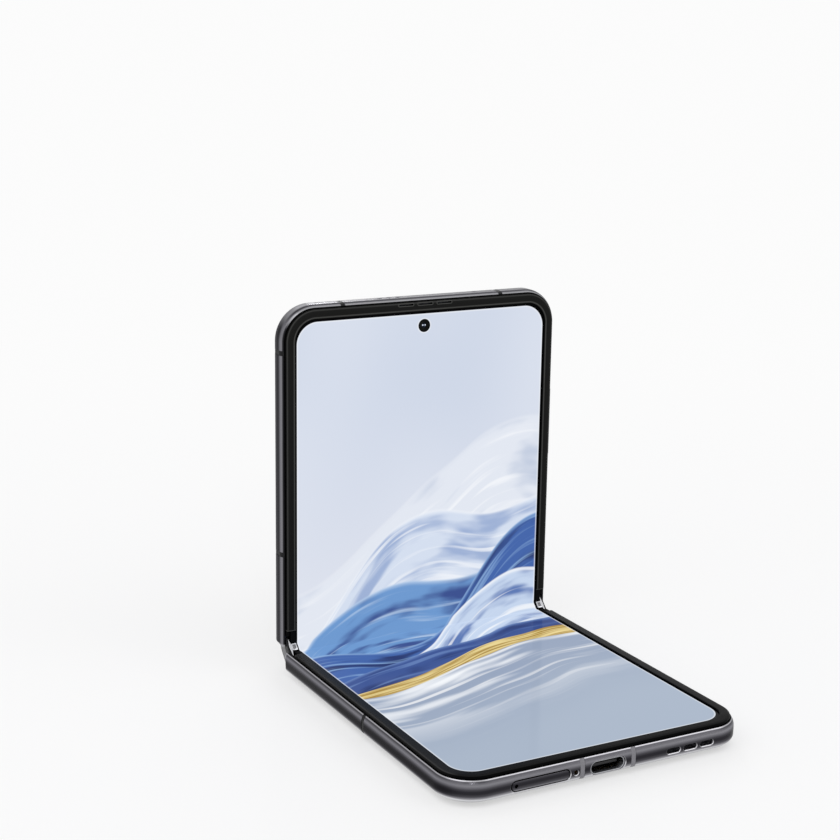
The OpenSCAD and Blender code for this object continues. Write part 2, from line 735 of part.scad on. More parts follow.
// The flat cable between the boards dips into the spine between its two anchored ends
cable_t = 0.15;
cable_w = 12;
cable_v = 4.4;
cable_dip = spine_floor + 0.6;
function in_half(u, w) = [origin_u - u, w];
function turned(p, c, a) = [
    c[0] + (p[0] - c[0]) * cos(a) - (p[1] - c[1]) * sin(a),
    c[1] + (p[0] - c[0]) * sin(a) + (p[1] - c[1]) * cos(a)
];
function in_spine(v, w) = turned([origin_u + v, w], [origin_u - axis_u, axis_w], fold_turn);
function in_lid(u, w) =
    let (p = turned([origin_u + u, w], [origin_u + axis_u, axis_w], fold_turn))
    turned(p, [origin_u - axis_u, axis_w], fold_turn);
cable_end_u = mid_u + 4;
cable_rise = mid_w - 0.15;
cable_path = concat(
    [in_half(cable_end_u, mid_w - 2 * cable_t), in_half(mid_u - 0.6, mid_w - 0.1)],
    [for (p = [[-0.9, cable_rise], [-0.62, cable_dip + 1], [-0.3, cable_dip], [0, cable_dip - 0.2],
        [0.3, cable_dip], [0.62, cable_dip + 1], [0.9, cable_rise]]) in_spine(p[0] * cable_v, p[1])],
    [in_lid(mid_u - 0.6, mid_w - 0.1), in_lid(cable_end_u, mid_w - 2 * cable_t)]
);
function side_step(path, i, t) =
    let (a = path[max(i - 1, 0)], b = path[min(i + 1, len(path) - 1)], d = (b - a) / norm(b - a))
    path[i] + t * [-d[1], d[0]];
module hinge_flex_cable() color(gold) translate([-cable_w / 2, 0, 0]) rotate([90, 0, 90])
    linear_extrude(cable_w) polygon(concat(
        [for (i = [0:len(cable_path) - 1]) side_step(cable_path, i, cable_t / 2)],
        [for (i = [len(cable_path) - 1:-1:0]) side_step(cable_path, i, -cable_t / 2)]
    ));
module hinge_arms_lid() color(steel) lid_half() arms(1);

// Lid half

board_lead = 3;
board_u0 = glass_u - glass_h / 2 + 1;
board_end = 7.8;
board_clear = 0.3;
lid_end_bands = [-22, 22];
far_band_end = 11.2;
lid_left_bands = [24, half_len - far_band_end];
lid_right_bands = [35.6];
top_mic_x = 15.9;
sensor_x = -7.2;
sensor_len = 3.4;
sensor_h = 0.7;
key_flange_t = 0.5;
key_flange = 0.5;
flange_gap = 0.1;
key_x0 = body_w / 2 - wall_t - part_gap;
key_w = port_w + 0.2;
camera_places = [[cam_x, glass_u + cam_pitch / 2], [cam_x, glass_u - cam_pitch / 2]];
lid_screw_u = board_u0 - board_lead / 2;
far_screw_end = 9.2;
lid_screw_places = [
    [screw_side - side_x, lid_screw_u], [side_x - screw_side, half_len - far_screw_end],
    [-inner_screw_x, lid_screw_u], [side_x - screw_side, lid_screw_u]
];
selfie_block = 3;
ear_slot_d = 0.55;
ear_slot_u = half_len - bezel_d - ear_slot_d;
ear_slot_len = 4;
ear_slot_pitch = 5.35;
ear_slot_w = 0.4;
earpiece_x0 = 4.2;
earpiece_x1 = 15;

module lid_frame() color(metal_colour) lid_half()
    half_frame(lid_end_bands, lid_left_bands, lid_right_bands, 1) {
        side_pill(rocker_u, key_w, rocker_len + 2 * key_clear, key_h + 2 * key_clear, key_x0 - 1, body_w / 2 + 1);
        side_pill(power_u, key_w, power_len + 2 * key_clear, key_h + 2 * key_clear, key_x0 - 1, body_w / 2 + 1);
        translate([top_mic_x, half_len + 1, port_w]) rotate([90, 0, 0]) cylinder(r = mic_hole_r, h = wall_t + 2);
        end_pill(sensor_x, port_w + 0.5, sensor_len, sensor_h, wall_u - 1, half_len + 1);
        block(-selfie_block - part_gap, selfie_block + part_gap, selfie_u - selfie_block - part_gap,
            selfie_u + selfie_block + part_gap, mid_w - 1, half_t);
        for (i = [-1:1]) block(i * ear_slot_pitch - ear_slot_len / 2, i * ear_slot_pitch + ear_slot_len / 2,
            ear_slot_u - ear_slot_w, ear_slot_u + ear_slot_w, mid_w, half_t);
        for (p = lid_screw_places) post(p[0], p[1], screw_r, 0, support_w - part_gap);
    }
module lid_antenna_bands() color(black) lid_half() half_bands(lid_end_bands, lid_left_bands, lid_right_bands);
module lid_hinge_bar() color(bar_colour) lid_half() half_hinge_bar();

// Outline of the cover glass, with one round end
module glass_2d(grow) {
    r = glass_h / 2 + grow;
    cr = glass_corner_r + grow;
    e = glass_edge + grow;
    translate([glass_x, glass_u]) circle(r);
    translate([glass_x, glass_u - r]) square([e - cr - glass_x, 2 * r]);
    translate([e - cr - 0.01, glass_u - r + cr]) square([cr + 0.01, 2 * (r - cr)]);
    for (s = [-1, 1]) translate([e - cr, glass_u + s * (r - cr)]) circle(cr);
}
module flash_2d(grow) {
    translate([flash_x, glass_u]) {
        square([flash_w + 2 * grow, flash_len - flash_w], center = true);
        for (s = [-1, 1]) translate([0, s * (flash_len - flash_w) / 2]) circle(flash_w / 2 + grow);
    }
}
cover_screen_r = glass_h / 2 - cover_margin;
ring_in_r = ring_r - ring_w;
sleeve_r = ring_in_r - 0.3;
module camera_bores(r) {
    for (p = camera_places) translate(p) circle(r);
}
glass_sink = 0.1;
glass_w0 = glass_sink - plateau_h;
glass_w1 = glass_w0 + glass_t;
glass_clear = 0.08;
plateau_d = 3.2;
module plateau_2d() {
    r = glass_h / 2 + lip_w;
    translate([glass_x, glass_u]) circle(r);
    translate([glass_x, glass_u - r]) square([body_w / 2 - plateau_d - glass_x, 2 * r]);
}
module lid_leather() color(leather_colour) lid_half() difference() {
    union() {
        half_skin(0, leather_t);
        translate([0, 0, -plateau_h]) linear_extrude(plateau_h + leather_t - part_gap) plateau_2d();
    }
    translate([0, 0, -half_t]) linear_extrude(2 * half_t) glass_2d(glass_clear);
}
module lid_back_plate() color(black) lid_half() difference() {
    half_skin(leather_t, plate_t);
    translate([0, 0, -half_t]) linear_extrude(2 * half_t) {
        camera_bores(sleeve_r + part_gap);
        flash_2d(-0.4);
        translate([glass_x, glass_u]) square([10, 6], center = true); // way for the cover screen's cable
    }
}
module cover_glass() color(black) lid_half() translate([0, 0, glass_w0]) linear_extrude(glass_t) difference() {
    glass_2d(0);
    camera_bores(sleeve_r + part_gap);
    flash_2d(part_gap);
}
module glass_spacer() color(black) lid_half() translate([0, 0, glass_w1]) linear_extrude(leather_t - glass_w1)
    difference() {
        glass_2d(0);
        camera_bores(sleeve_r + part_gap);
        flash_2d(part_gap);
        translate([glass_x, glass_u]) circle(cover_screen_r + part_gap);
    }
module cover_display() color(screen_colour) lid_half()
    translate([glass_x, glass_u, glass_w1]) cylinder(r = cover_screen_r, h = leather_t - glass_w1);
module camera_rings() color(silver) lid_half() for (p = camera_places) translate([p[0], p[1], 0])
    rotate_extrude() polygon([
        [ring_in_r, glass_w0 - ring_h], [ring_r - 0.25, glass_w0 - ring_h], [ring_r, glass_w0 - ring_h + 0.25],
        [ring_r, glass_w0], [sleeve_r, glass_w0], [sleeve_r, leather_t], [sleeve_r - 0.4, leather_t],
        [sleeve_r - 0.4, glass_w0 - 0.2], [ring_in_r, glass_w0 - 0.2]
    ]);
cone_step = 0.25;
module camera_cones() color(black) lid_half() for (p = camera_places) translate([p[0], p[1], 0])
    rotate_extrude() polygon([
        [lens_r, leather_t], [lens_r, glass_w0 + cone_step], [lens_r + 0.7, glass_w0 + cone_step],
        [lens_r + 0.9, glass_w0], [ring_in_r - 1.6, glass_w0 - cone_step], [ring_in_r - 0.7, glass_w0 - ring_h + 0.2],
        [ring_in_r - part_gap, glass_w0 - ring_h + 0.2], [ring_in_r - part_gap, glass_w0 - 0.25],
        [sleeve_r - 0.45, glass_w0 - 0.25], [sleeve_r - 0.45, leather_t]
    ]);
lens_dome_r = 3.2;
module camera_lenses() color(black) lid_half() for (p = camera_places) translate([p[0], p[1], 0]) intersection() {
    translate([0, 0, glass_w0 + lens_dome_r + 0.1]) sphere(lens_dome_r);
    post(0, 0, lens_r - part_gap, -half_t, barrel_w0 - 0.1);
}
barrel_wall = 1.6;
barrel_r = sleeve_r - barrel_wall;
barrel_w0 = leather_t + 0.4;
camera_block = 5;
camera_block_w0 = leather_t + 1.5;
module rear_cameras() color(black) lid_half() for (p = camera_places) {
    post(p[0], p[1], barrel_r, barrel_w0, camera_block_w0);
    block(p[0] - camera_block, p[0] + camera_block, p[1] - camera_block, p[1] + camera_block,
        camera_block_w0, inside_w1);
}
flash_foot_w = 2.2;
flash_foot_len = 4;
module flash_window() color([0.93, 0.93, 0.86]) lid_half() {
    translate([0, 0, glass_w0]) linear_extrude(leather_t - glass_w0) flash_2d(0);
    block(flash_x - flash_foot_w / 2, flash_x + flash_foot_w / 2, glass_u - flash_foot_len / 2,
        glass_u + flash_foot_len / 2, leather_t, skin_t + 0.6);
}

module lid_bezel() color(bezel_colour) lid_half() difference() {
    round_half(bezel_profile, bezel_start);
    for (i = [-1:1]) block(i * ear_slot_pitch - ear_slot_len / 2, i * ear_slot_pitch + ear_slot_len / 2,
        ear_slot_u - ear_slot_w / 2, ear_slot_u + ear_slot_w / 2, 0, 2 * half_t);
    ear_mesh_room(part_gap);
}
ear_mesh_t = 0.3;
module ear_mesh_room(gap) {
    x = ear_slot_pitch + ear_slot_len / 2 + ear_slot_w + gap;
    block(-x, x, ear_slot_u - ear_slot_w - gap, ear_slot_u + ear_slot_w - part_gap + gap,
        ledge_w, ledge_w + ear_mesh_t + gap);
}
module earpiece_mesh() color(steel) lid_half() ear_mesh_room(0);
earpiece_len = 6.4;
earpiece_t = 2.6;
module earpiece() color(steel) lid_half()
    block(earpiece_x0, earpiece_x1, sub_u1 - earpiece_len, sub_u1, inside_w1 - earpiece_t, inside_w1);
module lid_gasket() color(black) lid_half() round_half(gasket_profile, bezel_start);
module display_lid() color(screen_colour) lid_half() difference() {
    half_panel();
    post(0, selfie_u, selfie_r, 0, half_t);
}
module lid_support_plate() color(steel) lid_half() difference() {
    half_sheet();
    block(-selfie_block - part_gap, selfie_block + part_gap, selfie_u - selfie_block - part_gap,
        selfie_u + selfie_block + part_gap, 0, half_t);
}
module display_fold_lid() color(screen_colour) lid_half() half_bend();
selfie_depth = 1.6;
selfie_w0 = inside_w1 - selfie_depth;
selfie_sink = 0.12;
module selfie_camera() color(black) lid_half() {
    block(-selfie_block, selfie_block, selfie_u - selfie_block, selfie_u + selfie_block, selfie_w0, panel_w);
    post(0, selfie_u, selfie_r - part_gap, panel_w, axis_w - selfie_sink);
}

main_board_w1 = inside_w1;
main_board_w0 = main_board_w1 - board_t;
board_side = 5.2;
board_x = side_x - board_side;
module main_board() color(board_colour) lid_half() difference() {
    translate([0, 0, main_board_w0]) linear_extrude(board_t) difference() {
        translate([-board_x, board_u0 - board_lead])
            square([2 * board_x, half_len - board_end - board_u0 + board_lead]);
        for (p = camera_places) translate(p) square(2 * (camera_block + board_clear), center = true);
        translate([-earpiece_x0, selfie_u - selfie_block - board_clear])
            square([earpiece_x1 + board_clear + earpiece_x0, half_len]);
    }
    for (p = lid_screw_places) post(p[0], p[1], screw_r, 0, half_t);
}
can_wall = 0.2;
can_h = 1.6;
// Each can: left side, distance from the board's start, width and length
can_places = [[3 - board_x, 3.8, 22, 27], [-5, 1.8, 17, 14], [-5, 20.8, 12, 9]];
module shield_cans() color(steel) lid_half() for (c = can_places) translate([c[0], board_u0 + c[1], 0])
    difference() {
        block(0, c[2], 0, c[3], main_board_w0 - can_h, main_board_w0);
        block(can_wall, c[2] - can_wall, can_wall, c[3] - can_wall,
            main_board_w0 - can_h + can_wall, main_board_w0 + 1);
    }
module lid_battery() color(battery_colour) lid_half()
    block(-battery_x, battery_x, battery_u, board_u0 - board_lead - battery_end, inside_w0, inside_w1);

// A side key: the head in its opening, and a wider flange behind the wall
module side_key(u, len, out) {
    side_pill(u, key_w, len, key_h, key_x0 - flange_gap - key_flange_t / 2, body_w / 2 + out);
    side_pill(u, key_w, len + 2 * key_flange, key_h + key_flange,
        key_x0 - flange_gap - key_flange_t, key_x0 - flange_gap);
}
module volume_rocker() color(metal_colour) lid_half() side_key(rocker_u, rocker_len, rocker_out);
module power_button() color(black) lid_half() side_key(power_u, power_len, power_out);

switch_room = 0.45;
switch_x1 = key_x0 - flange_gap - key_flange_t - switch_room;
switch_t = 0.3;
switch_dome_t = 0.15;
switch_dome_r = 0.8;
module side_switches() color(steel) lid_half() {
    for (k = [[rocker_u, rocker_len], [power_u, power_len]])
        block(switch_x1 - switch_t, switch_x1, k[0] - k[1] / 2, k[0] + k[1] / 2,
            key_w - switch_dome_r, key_w + switch_dome_r);
    for (u = [rocker_u - rocker_len / 4, rocker_u + rocker_len / 4, power_u])
        translate([switch_x1, u, key_w]) rotate([0, 90, 0]) cylinder(r = switch_dome_r, h = switch_dome_t);
}
module top_mic() color(gold) lid_half() difference() {
    block(top_mic_x - mic_hole_r, top_mic_x - mic_hole_r + mic_body, sub_u1 - mic_len, sub_u1 - part_gap,
        port_w - mic_body / 2, port_w + mic_body / 2);
    translate([top_mic_x, half_len, port_w]) rotate([90, 0, 0]) cylinder(r = mic_hole_r, h = wall_t + mic_body / 2);
}
module lid_screws() color(steel) lid_half() {
    for (p = lid_screw_places) {
        post(p[0], p[1], screw_r, main_board_w0, support_w - part_gap);
        post(p[0], p[1], 1.8 * screw_r, main_board_w0 - screw_head_t, main_board_w0);
    }
    arm_screws(1);
}

base_frame();
base_antenna_bands();
base_hinge_bar();
base_back_plate();
base_leather();
base_bezel();
base_gasket();
display_base();
base_support_plate();
display_fold_base();
base_battery();
sub_board();
usb_receptacle();
usb_tongue();
speaker_box();
speaker_mesh();
bottom_mic();
vibration_motor();
sim_socket();
sim_tray();
sim_card();
base_screws();
hinge_arms_base();
hinge_spine();
hinge_brackets();
hinge_caps();
hinge_shafts();
hinge_springs();
hinge_flex_cable();
hinge_arms_lid();
lid_frame();
lid_antenna_bands();
lid_hinge_bar();
lid_back_plate();
lid_leather();
lid_bezel();
lid_gasket();
display_lid();
lid_support_plate();
display_fold_lid();
cover_glass();
glass_spacer();
cover_display();
camera_rings();
camera_cones();
camera_lenses();
rear_cameras();
flash_window();
selfie_camera();
earpiece();
earpiece_mesh();
main_board();
shield_cans();
lid_battery();
volume_rocker();
power_button();
side_switches();
top_mic();
lid_screws();
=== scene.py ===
import json
import math

import bmesh
import bpy
import numpy as np
from mathutils import Matrix, Vector, geometry

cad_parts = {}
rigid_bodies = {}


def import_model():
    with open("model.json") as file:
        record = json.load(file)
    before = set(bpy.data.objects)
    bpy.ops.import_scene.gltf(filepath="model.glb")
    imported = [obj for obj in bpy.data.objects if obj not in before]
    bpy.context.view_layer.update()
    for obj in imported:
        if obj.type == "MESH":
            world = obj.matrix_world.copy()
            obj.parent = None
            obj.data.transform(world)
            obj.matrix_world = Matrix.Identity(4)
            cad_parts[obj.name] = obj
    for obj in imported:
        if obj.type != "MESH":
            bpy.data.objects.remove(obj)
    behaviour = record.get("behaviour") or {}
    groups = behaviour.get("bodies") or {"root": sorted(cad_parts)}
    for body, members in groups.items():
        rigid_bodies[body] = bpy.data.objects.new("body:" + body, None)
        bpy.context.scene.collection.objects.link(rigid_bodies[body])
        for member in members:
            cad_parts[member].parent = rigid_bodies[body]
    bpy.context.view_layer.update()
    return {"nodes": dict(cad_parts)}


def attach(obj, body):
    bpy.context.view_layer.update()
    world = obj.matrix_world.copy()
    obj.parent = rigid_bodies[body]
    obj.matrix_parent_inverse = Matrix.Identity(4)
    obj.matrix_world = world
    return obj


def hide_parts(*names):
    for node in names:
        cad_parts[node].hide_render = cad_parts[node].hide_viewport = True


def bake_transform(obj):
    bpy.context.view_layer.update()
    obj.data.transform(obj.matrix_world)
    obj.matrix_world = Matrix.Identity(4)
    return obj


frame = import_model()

# The camera.
# It stands in front of the port end, a little to the left and above, with a long lens.
camera = bpy.data.objects.new("camera", bpy.data.cameras.new("camera"))
bpy.context.scene.collection.objects.link(camera)
bpy.context.scene.camera = camera
camera.data.sensor_width, camera.data.lens = 36, 73.76
camera.data.clip_start, camera.data.clip_end = 0.01, 20
camera.matrix_world = Matrix((
    (0.87998, 0.09667, -0.46506, -0.20043),
    (-0.47478, 0.20922, -0.85487, -0.32394),
    (0.01466, 0.97307, 0.23000, 0.16001),
    (0, 0, 0, 1),
))

# The metal frames of both halves.
# Each is milled from aluminium, blasted and anodised dark grey: a wall round three sides
# with a curved back edge, holes for the ports and keys, and a pocket for the hinge spine.
WIDTH, LENGTH, THICK, CORNER = 76.5, 85.2, 7.0, 8.7
SIDE = WIDTH / 2
RIM_BACK, RIM_FRONT, WALL, LEDGE = 1.35, 0.65, 2.4, 5.9
CURVE_W, CURVE_H, FRONT_R = 6.0, 2.6, 2.6
BAR_U = 0.25
AXIS_U, AXIS_W = 0.95, 6.55
ORIGIN_U = LENGTH / 2
PORT_W = 3.3


def in_base(points):
    """Points of the base half, (across, from the fold, from the back up) in mm, in the phone's frame."""
    x, u, w = np.array(points, float).T
    return np.column_stack((x, ORIGIN_U - u, w)) / 1000


def turned(points, v, w, degrees=45.0):
    """Points turned about the hinge axis that lies at (v, w)."""
    x, y, z = (np.array(points, float) - (0, v, w)).T
    c, s = np.cos(np.radians(degrees)), np.sin(np.radians(degrees))
    return np.column_stack((x, y * c - z * s + v, y * s + z * c + w))


def in_spine(points):
    """Points of the spine, (across, across the fold, up) in mm, in the phone's frame."""
    return turned(np.array(points, float) + (0, ORIGIN_U, 0), ORIGIN_U - AXIS_U, AXIS_W) / 1000


def in_lid(points):
    """Points of the lid half in the phone's frame."""
    return in_spine(turned(points, AXIS_U, AXIS_W))


def curve_back(d):
    """Height of the curved back edge at an inset from the outline."""
    return CURVE_H * (1 - np.sqrt(1 - (1 - np.minimum(d, CURVE_W) / CURVE_W) ** 2))


def curve_points(d0, d1, lift, steps=14):
    """Points of the curved back edge between two insets."""
    a0, a1 = (math.asin(1 - d / CURVE_W) for d in (d0, d1))
    turns = [a0 + (a1 - a0) * i / steps for i in range(steps + 1)]
    return [(CURVE_W * (1 - math.sin(a)), CURVE_H * (1 - math.cos(a)) + lift) for a in turns]


def rim_path(from_u, steps=40):
    """The outline round the two sides and the far end, with the way inwards at each point."""
    path = [(-SIDE, from_u, 1, 0)]
    for x, start in ((CORNER - SIDE, 180), (SIDE - CORNER, 90)):
        for i in range(steps + 1):
            a = math.radians(start - 90 * i / steps)
            c, s = math.cos(a), math.sin(a)
            path.append((x + CORNER * c, LENGTH - CORNER + CORNER * s, -c, -s))
    return path + [(SIDE, from_u, -1, 0)]


def swept(profile, path):
    """A bar whose closed profile of (inset, height) points is led along a path."""
    n = len(profile)
    points = [(x + nx * d, u + nu * d, w) for x, u, nx, nu in path for d, w in profile]
    faces = [(i * n + j, i * n + (j + 1) % n, (i + 1) * n + (j + 1) % n, (i + 1) * n + j)
             for i in range(len(path) - 1) for j in range(n)]
    return points, faces + [tuple(range(n)), tuple(range(len(points) - n, len(points)))]


def stacked(loops):
    """A closed body from loops of as many points each, capped at the first and the last."""
    n = len(loops[0])
    points = [p for loop in loops for p in loop]
    faces = [(i * n + j, i * n + (j + 1) % n, (i + 1) * n + (j + 1) % n, (i + 1) * n + j)
             for i in range(len(loops) - 1) for j in range(n)]
    return points, faces + [tuple(range(n)), tuple(range(len(points) - n, len(points)))]


def outline(x0, x1, y0, y1, radii, inset=0.0, steps=14):
    """A rectangle with round corners, drawn in by an inset. Radii start at the lowest corner."""
    corners = ((x0, y0, 1, 1, 180), (x1, y0, -1, 1, 270), (x1, y1, -1, -1, 0), (x0, y1, 1, -1, 90))
    points = []
    for (x, y, sx, sy, start), r in zip(corners, radii):
        r = max(r, inset + 0.01)
        for i in range(steps + 1):
            a = math.radians(start + 90 * i / steps)
            points.append((x + sx * r + (r - inset) * math.cos(a), y + sy * r + (r - inset) * math.sin(a)))
    return points


def pill(x, y, length, height, inset=0.0, steps=12):
    """A bar with round ends, or a circle, about its middle."""
    return outline(x - length / 2, x + length / 2, y - height / 2, y + height / 2,
                   [min(length, height) / 2] * 4, inset, steps)


def level(loop, w):
    """A loop laid flat in a half, at a height."""
    return [(x, y, w) for x, y in loop]


def on_end(loop, u):
    """A loop stood up across the far end, at a distance from the fold."""
    return [(x, u, w) for x, w in loop]


def on_side(loop, x):
    """A loop stood up along the side, at a place across the phone."""
    return [(x, u, w) for u, w in loop]


def block(x0, x1, u0, u1, w0, w1):
    """A square-edged bar."""
    corners = ((x0, u0), (x1, u0), (x1, u1), (x0, u1))
    return stacked([level(corners, w0), level(corners, w1)])


def joined(*parts):
    """Several bodies as one list of points and faces."""
    points, faces = [], []
    for more, more_faces in parts:
        faces += [tuple(i + len(points) for i in face) for face in more_faces]
        points += list(more)
    return points, faces


def plain_object(name, points, faces):
    """A mesh object with its faces turned outwards."""
    mesh = bpy.data.meshes.new(name)
    mesh.from_pydata([tuple(map(float, p)) for p in points], [], faces)
    made = bmesh.new()
    made.from_mesh(mesh)
    bmesh.ops.recalc_face_normals(made, faces=made.faces)
    made.to_mesh(mesh)
    made.free()
    thing = bpy.data.objects.new(name, mesh)
    bpy.context.scene.collection.objects.link(thing)
    return thing


def make(name, body, shape, place, finish, slot, *nodes, cuts=(), bevel=0.0, sharp=32, steps=2):
    """Makes a piece from a body in mm: rounds its edges, cuts its holes, puts it in place and lets it ride."""
    thing = plain_object(name, *shape)
    if bevel:
        rounding = thing.modifiers.new("rounding", "BEVEL")
        rounding.width, rounding.segments, rounding.angle_limit = bevel, steps, math.radians(35)
    tools = [plain_object(name + "_cut", *cut) for cut in cuts]
    for tool in tools:
        cutting = thing.modifiers.new("cutting", "BOOLEAN")
        cutting.operation, cutting.solver, cutting.object = "DIFFERENCE", "EXACT", tool
    bpy.context.view_layer.update()
    final = bpy.data.meshes.new_from_object(thing.evaluated_get(bpy.context.evaluated_depsgraph_get()))
    thing.modifiers.clear()
    thing.data = final
    for tool in tools:
        bpy.data.objects.remove(tool)
    co = np.empty(len(final.vertices) * 3, np.float32)
    final.vertices.foreach_get("co", co)
    sheet = final.attributes.new("sheet", "FLOAT_VECTOR", "POINT")
    sheet.data.foreach_set("vector", co)
    mirrored = place is in_base
    final.vertices.foreach_set("co", place(co.reshape(-1, 3)).astype(np.float32).ravel())
    if mirrored:
        final.flip_normals()
    final.shade_smooth()
    final.set_sharp_from_angle(angle=math.radians(sharp))
    final.materials.clear()
    final.materials.append(finish)
    if isinstance(body, str):
        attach(thing, body)
    if nodes:
        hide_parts(*nodes)
    return thing


class Shade:
    """A value in a material. Sums written with it add their Math nodes."""

    def __init__(self, maker, socket):
        self.maker, self.socket = maker, socket

    def math(self, operation, *others, flip=False):
        values = [self, *others][::-1] if flip else [self, *others]
        return self.maker.node("Math", {"operation": operation}, dict(enumerate(values)))

    def __add__(self, other): return self.math("ADD", other)
    def __sub__(self, other): return self.math("SUBTRACT", other)
    def __mul__(self, other): return self.math("MULTIPLY", other)
    def __truediv__(self, other): return self.math("DIVIDE", other)
    def __pow__(self, other): return self.math("POWER", other)
    def __radd__(self, other): return self.math("ADD", other, flip=True)
    def __rsub__(self, other): return self.math("SUBTRACT", other, flip=True)
    def __rmul__(self, other): return self.math("MULTIPLY", other, flip=True)
    def __rtruediv__(self, other): return self.math("DIVIDE", other, flip=True)
    def __neg__(self): return self.math("MULTIPLY", -1)


class Nodes:
    """A node tree in the making."""

    def __init__(self, tree):
        self.tree = tree

    def feed(self, socket, value):
        if isinstance(value, Shade):
            self.tree.links.new(value.socket, socket)
        elif socket.type == "RGBA":
            socket.default_value = (*value, 1)[:4]
        else:
            socket.default_value = value

    def node(self, kind, settings=None, inputs=None, out=0):
        made = self.tree.nodes.new("ShaderNode" + kind)
        for key, value in (settings or {}).items():
            if key == "stops":
                while len(made.color_ramp.elements) < len(value):
                    made.color_ramp.elements.new(0.5)
                for element, (position, colour) in zip(made.color_ramp.elements, value):
                    element.position, element.color = position, (*colour, 1)[:4]
            else:
                setattr(made, key, value)
        for key, value in (inputs or {}).items():
            self.feed(made.inputs[key], value)
        return Shade(self, made.outputs[out])


class Finish(Nodes):
    """A material in the making."""

    def __init__(self, name, **constants):
        self.material = bpy.data.materials.new(name)
        self.material.use_nodes = True
        super().__init__(self.material.node_tree)
        self.surface = self.tree.nodes["Principled BSDF"]
        for socket, value in constants.items():
            self.feed(self.surface.inputs[socket.replace("_", " ")], value)

    def place(self, stretch=(1, 1, 1), drawn=True):
        """The place on the surface in mm, stretched. drawn takes it from the half's own frame."""
        if drawn:
            at = self.node("Attribute", {"attribute_name": "sheet"}, out="Vector")
        else:
            at = self.node("TexCoord", out="Object")
            stretch = [1000 * s for s in stretch]
        return self.node("VectorMath", {"operation": "MULTIPLY"}, {0: at, 1: stretch})

    def axes(self, at=None):
        """The three parts of a place, the drawn one unless another is given."""
        at = at or self.place()
        return [self.node("SeparateXYZ", None, {"Vector": at}, axis) for axis in ("X", "Y", "Z")]

    def inset(self):
        """Distance inwards from the half's outline."""
        x, u, _ = self.axes()
        dx = (x.math("ABSOLUTE") - (SIDE - CORNER)).math("MAXIMUM", 0)
        du = (u.math("ABSOLUTE") - (LENGTH - CORNER)).math("MAXIMUM", 0)
        return CORNER - (dx * dx + du * du).math("SQRT")

    def shades(self, value, *stops):
        """A colour that changes with a value, from (value, colour code) stops."""
        low, high = stops[0][0], stops[-1][0]
        ramp = [((at - low) / (high - low), tint(code)) for at, code in stops]
        return self.node("ValToRGB", {"stops": ramp}, {"Fac": (value - low) / (high - low)})

    def noise(self, at, scale=1.0, detail=2.0, roughness=0.5, out=0, **more):
        return self.node("TexNoise", more or None,
                         {"Vector": at, "Scale": scale, "Detail": detail, "Roughness": roughness}, out)

    def remap(self, value, low, high, to_low=0.0, to_high=1.0, kind="SMOOTHSTEP"):
        return self.node("MapRange", {"interpolation_type": kind},
                         {"Value": value, "From Min": low, "From Max": high, "To Min": to_low, "To Max": to_high})

    def mix(self, share, first, second, blend="MIX"):
        return self.node("Mix", {"data_type": "RGBA", "blend_type": blend, "clamp_factor": True},
                         {0: share, 6: first, 7: second}, 2)

    def bump(self, height, strength, distance):
        return self.node("Bump", None, {"Height": height, "Strength": strength, "Distance": distance})

    def set(self, **values):
        for socket, value in values.items():
            self.feed(self.surface.inputs[socket.replace("_", " ")], value)
        return self.material


def tint(code):
    """A colour given as six hex digits, as the shader counts it."""
    parts = [int(code[i:i + 2], 16) / 255 for i in (0, 2, 4)]
    return tuple(p / 12.92 if p <= 0.04045 else ((p + 0.055) / 1.055) ** 2.4 for p in parts)


def blasted_metal(name, dark, light, rough=0.3, drawn=True):
    """Blasted and anodised aluminium: a fine grain, slow changes of shade and faint rubbed patches."""
    made = Finish(name, Metallic=1.0, IOR=1.5)
    grain = made.noise(made.place((9, 9, 9), drawn), detail=3.0)
    cloud = made.noise(made.place((0.09, 0.09, 0.09), drawn), detail=3.0)
    rubbed = made.remap(made.noise(made.place((0.6, 0.25, 0.6), drawn), detail=5.0), 0.55, 0.75)
    shade = cloud * 0.7 + grain * 0.3
    return made.set(
        Base_Color=made.mix(shade, tint(dark), tint(light)),
        Roughness=rough + (grain - 0.5) * 0.12 - rubbed * 0.05,
        Normal=made.bump(grain, 0.08, 0.00002),
    )


def frame_finish(name, mouths, sides, end=None):
    """The frame's anodised metal. Its light and dark edge lines are painted reflections, highlights and shade, laid on
    as colour bands over the height, with a painted highlight along the fold end and round the mouths of its holes.
    """
    made = Finish(name, Metallic=1.0, IOR=1.5, Specular_Tint=(0.62, 0.62, 0.62))
    grain = made.noise(made.place((9, 9, 9)), detail=3.0)
    cloud = made.noise(made.place((0.09, 0.09, 0.09)), detail=3.0)
    x, u, height = made.axes()
    level = height + (cloud - 0.5) * 0.1
    # painted reflections, highlights and shade: colour bands over the height, with their own set near the far end
    body = made.shades(level, *sides)
    if end:
        body = made.mix(made.remap(u, 79.5, 84), body, made.shades(level, *end))
    # painted highlight along the rounded fold end
    body = made.mix(made.remap(u, 1.0, 0.7) * 0.7, body, tint("b5b5b9"))
    # painted highlight round each hole's mouth, strongest below it
    for at, w, length, tall in mouths:
        dx = ((x - at).math("ABSOLUTE") - (length - tall) / 2).math("MAXIMUM", 0)
        away = (dx * dx + (height - w) * (height - w)).math("SQRT") - tall / 2
        lip = made.remap(away, 0.2, 0.1) * made.remap(away, -0.1, 0.0) * made.remap(height, w + 0.4, w - 0.3, 0.25, 1.0)
        body = made.mix(lip, body, tint("d6d5da"))
    return made.set(
        Base_Color=made.mix(0.02 + grain * 0.1, body, tint("59585d")),
        Roughness=0.28 + (grain - 0.5) * 0.12,
        Normal=made.bump(grain, 0.08, 0.00002),
    )


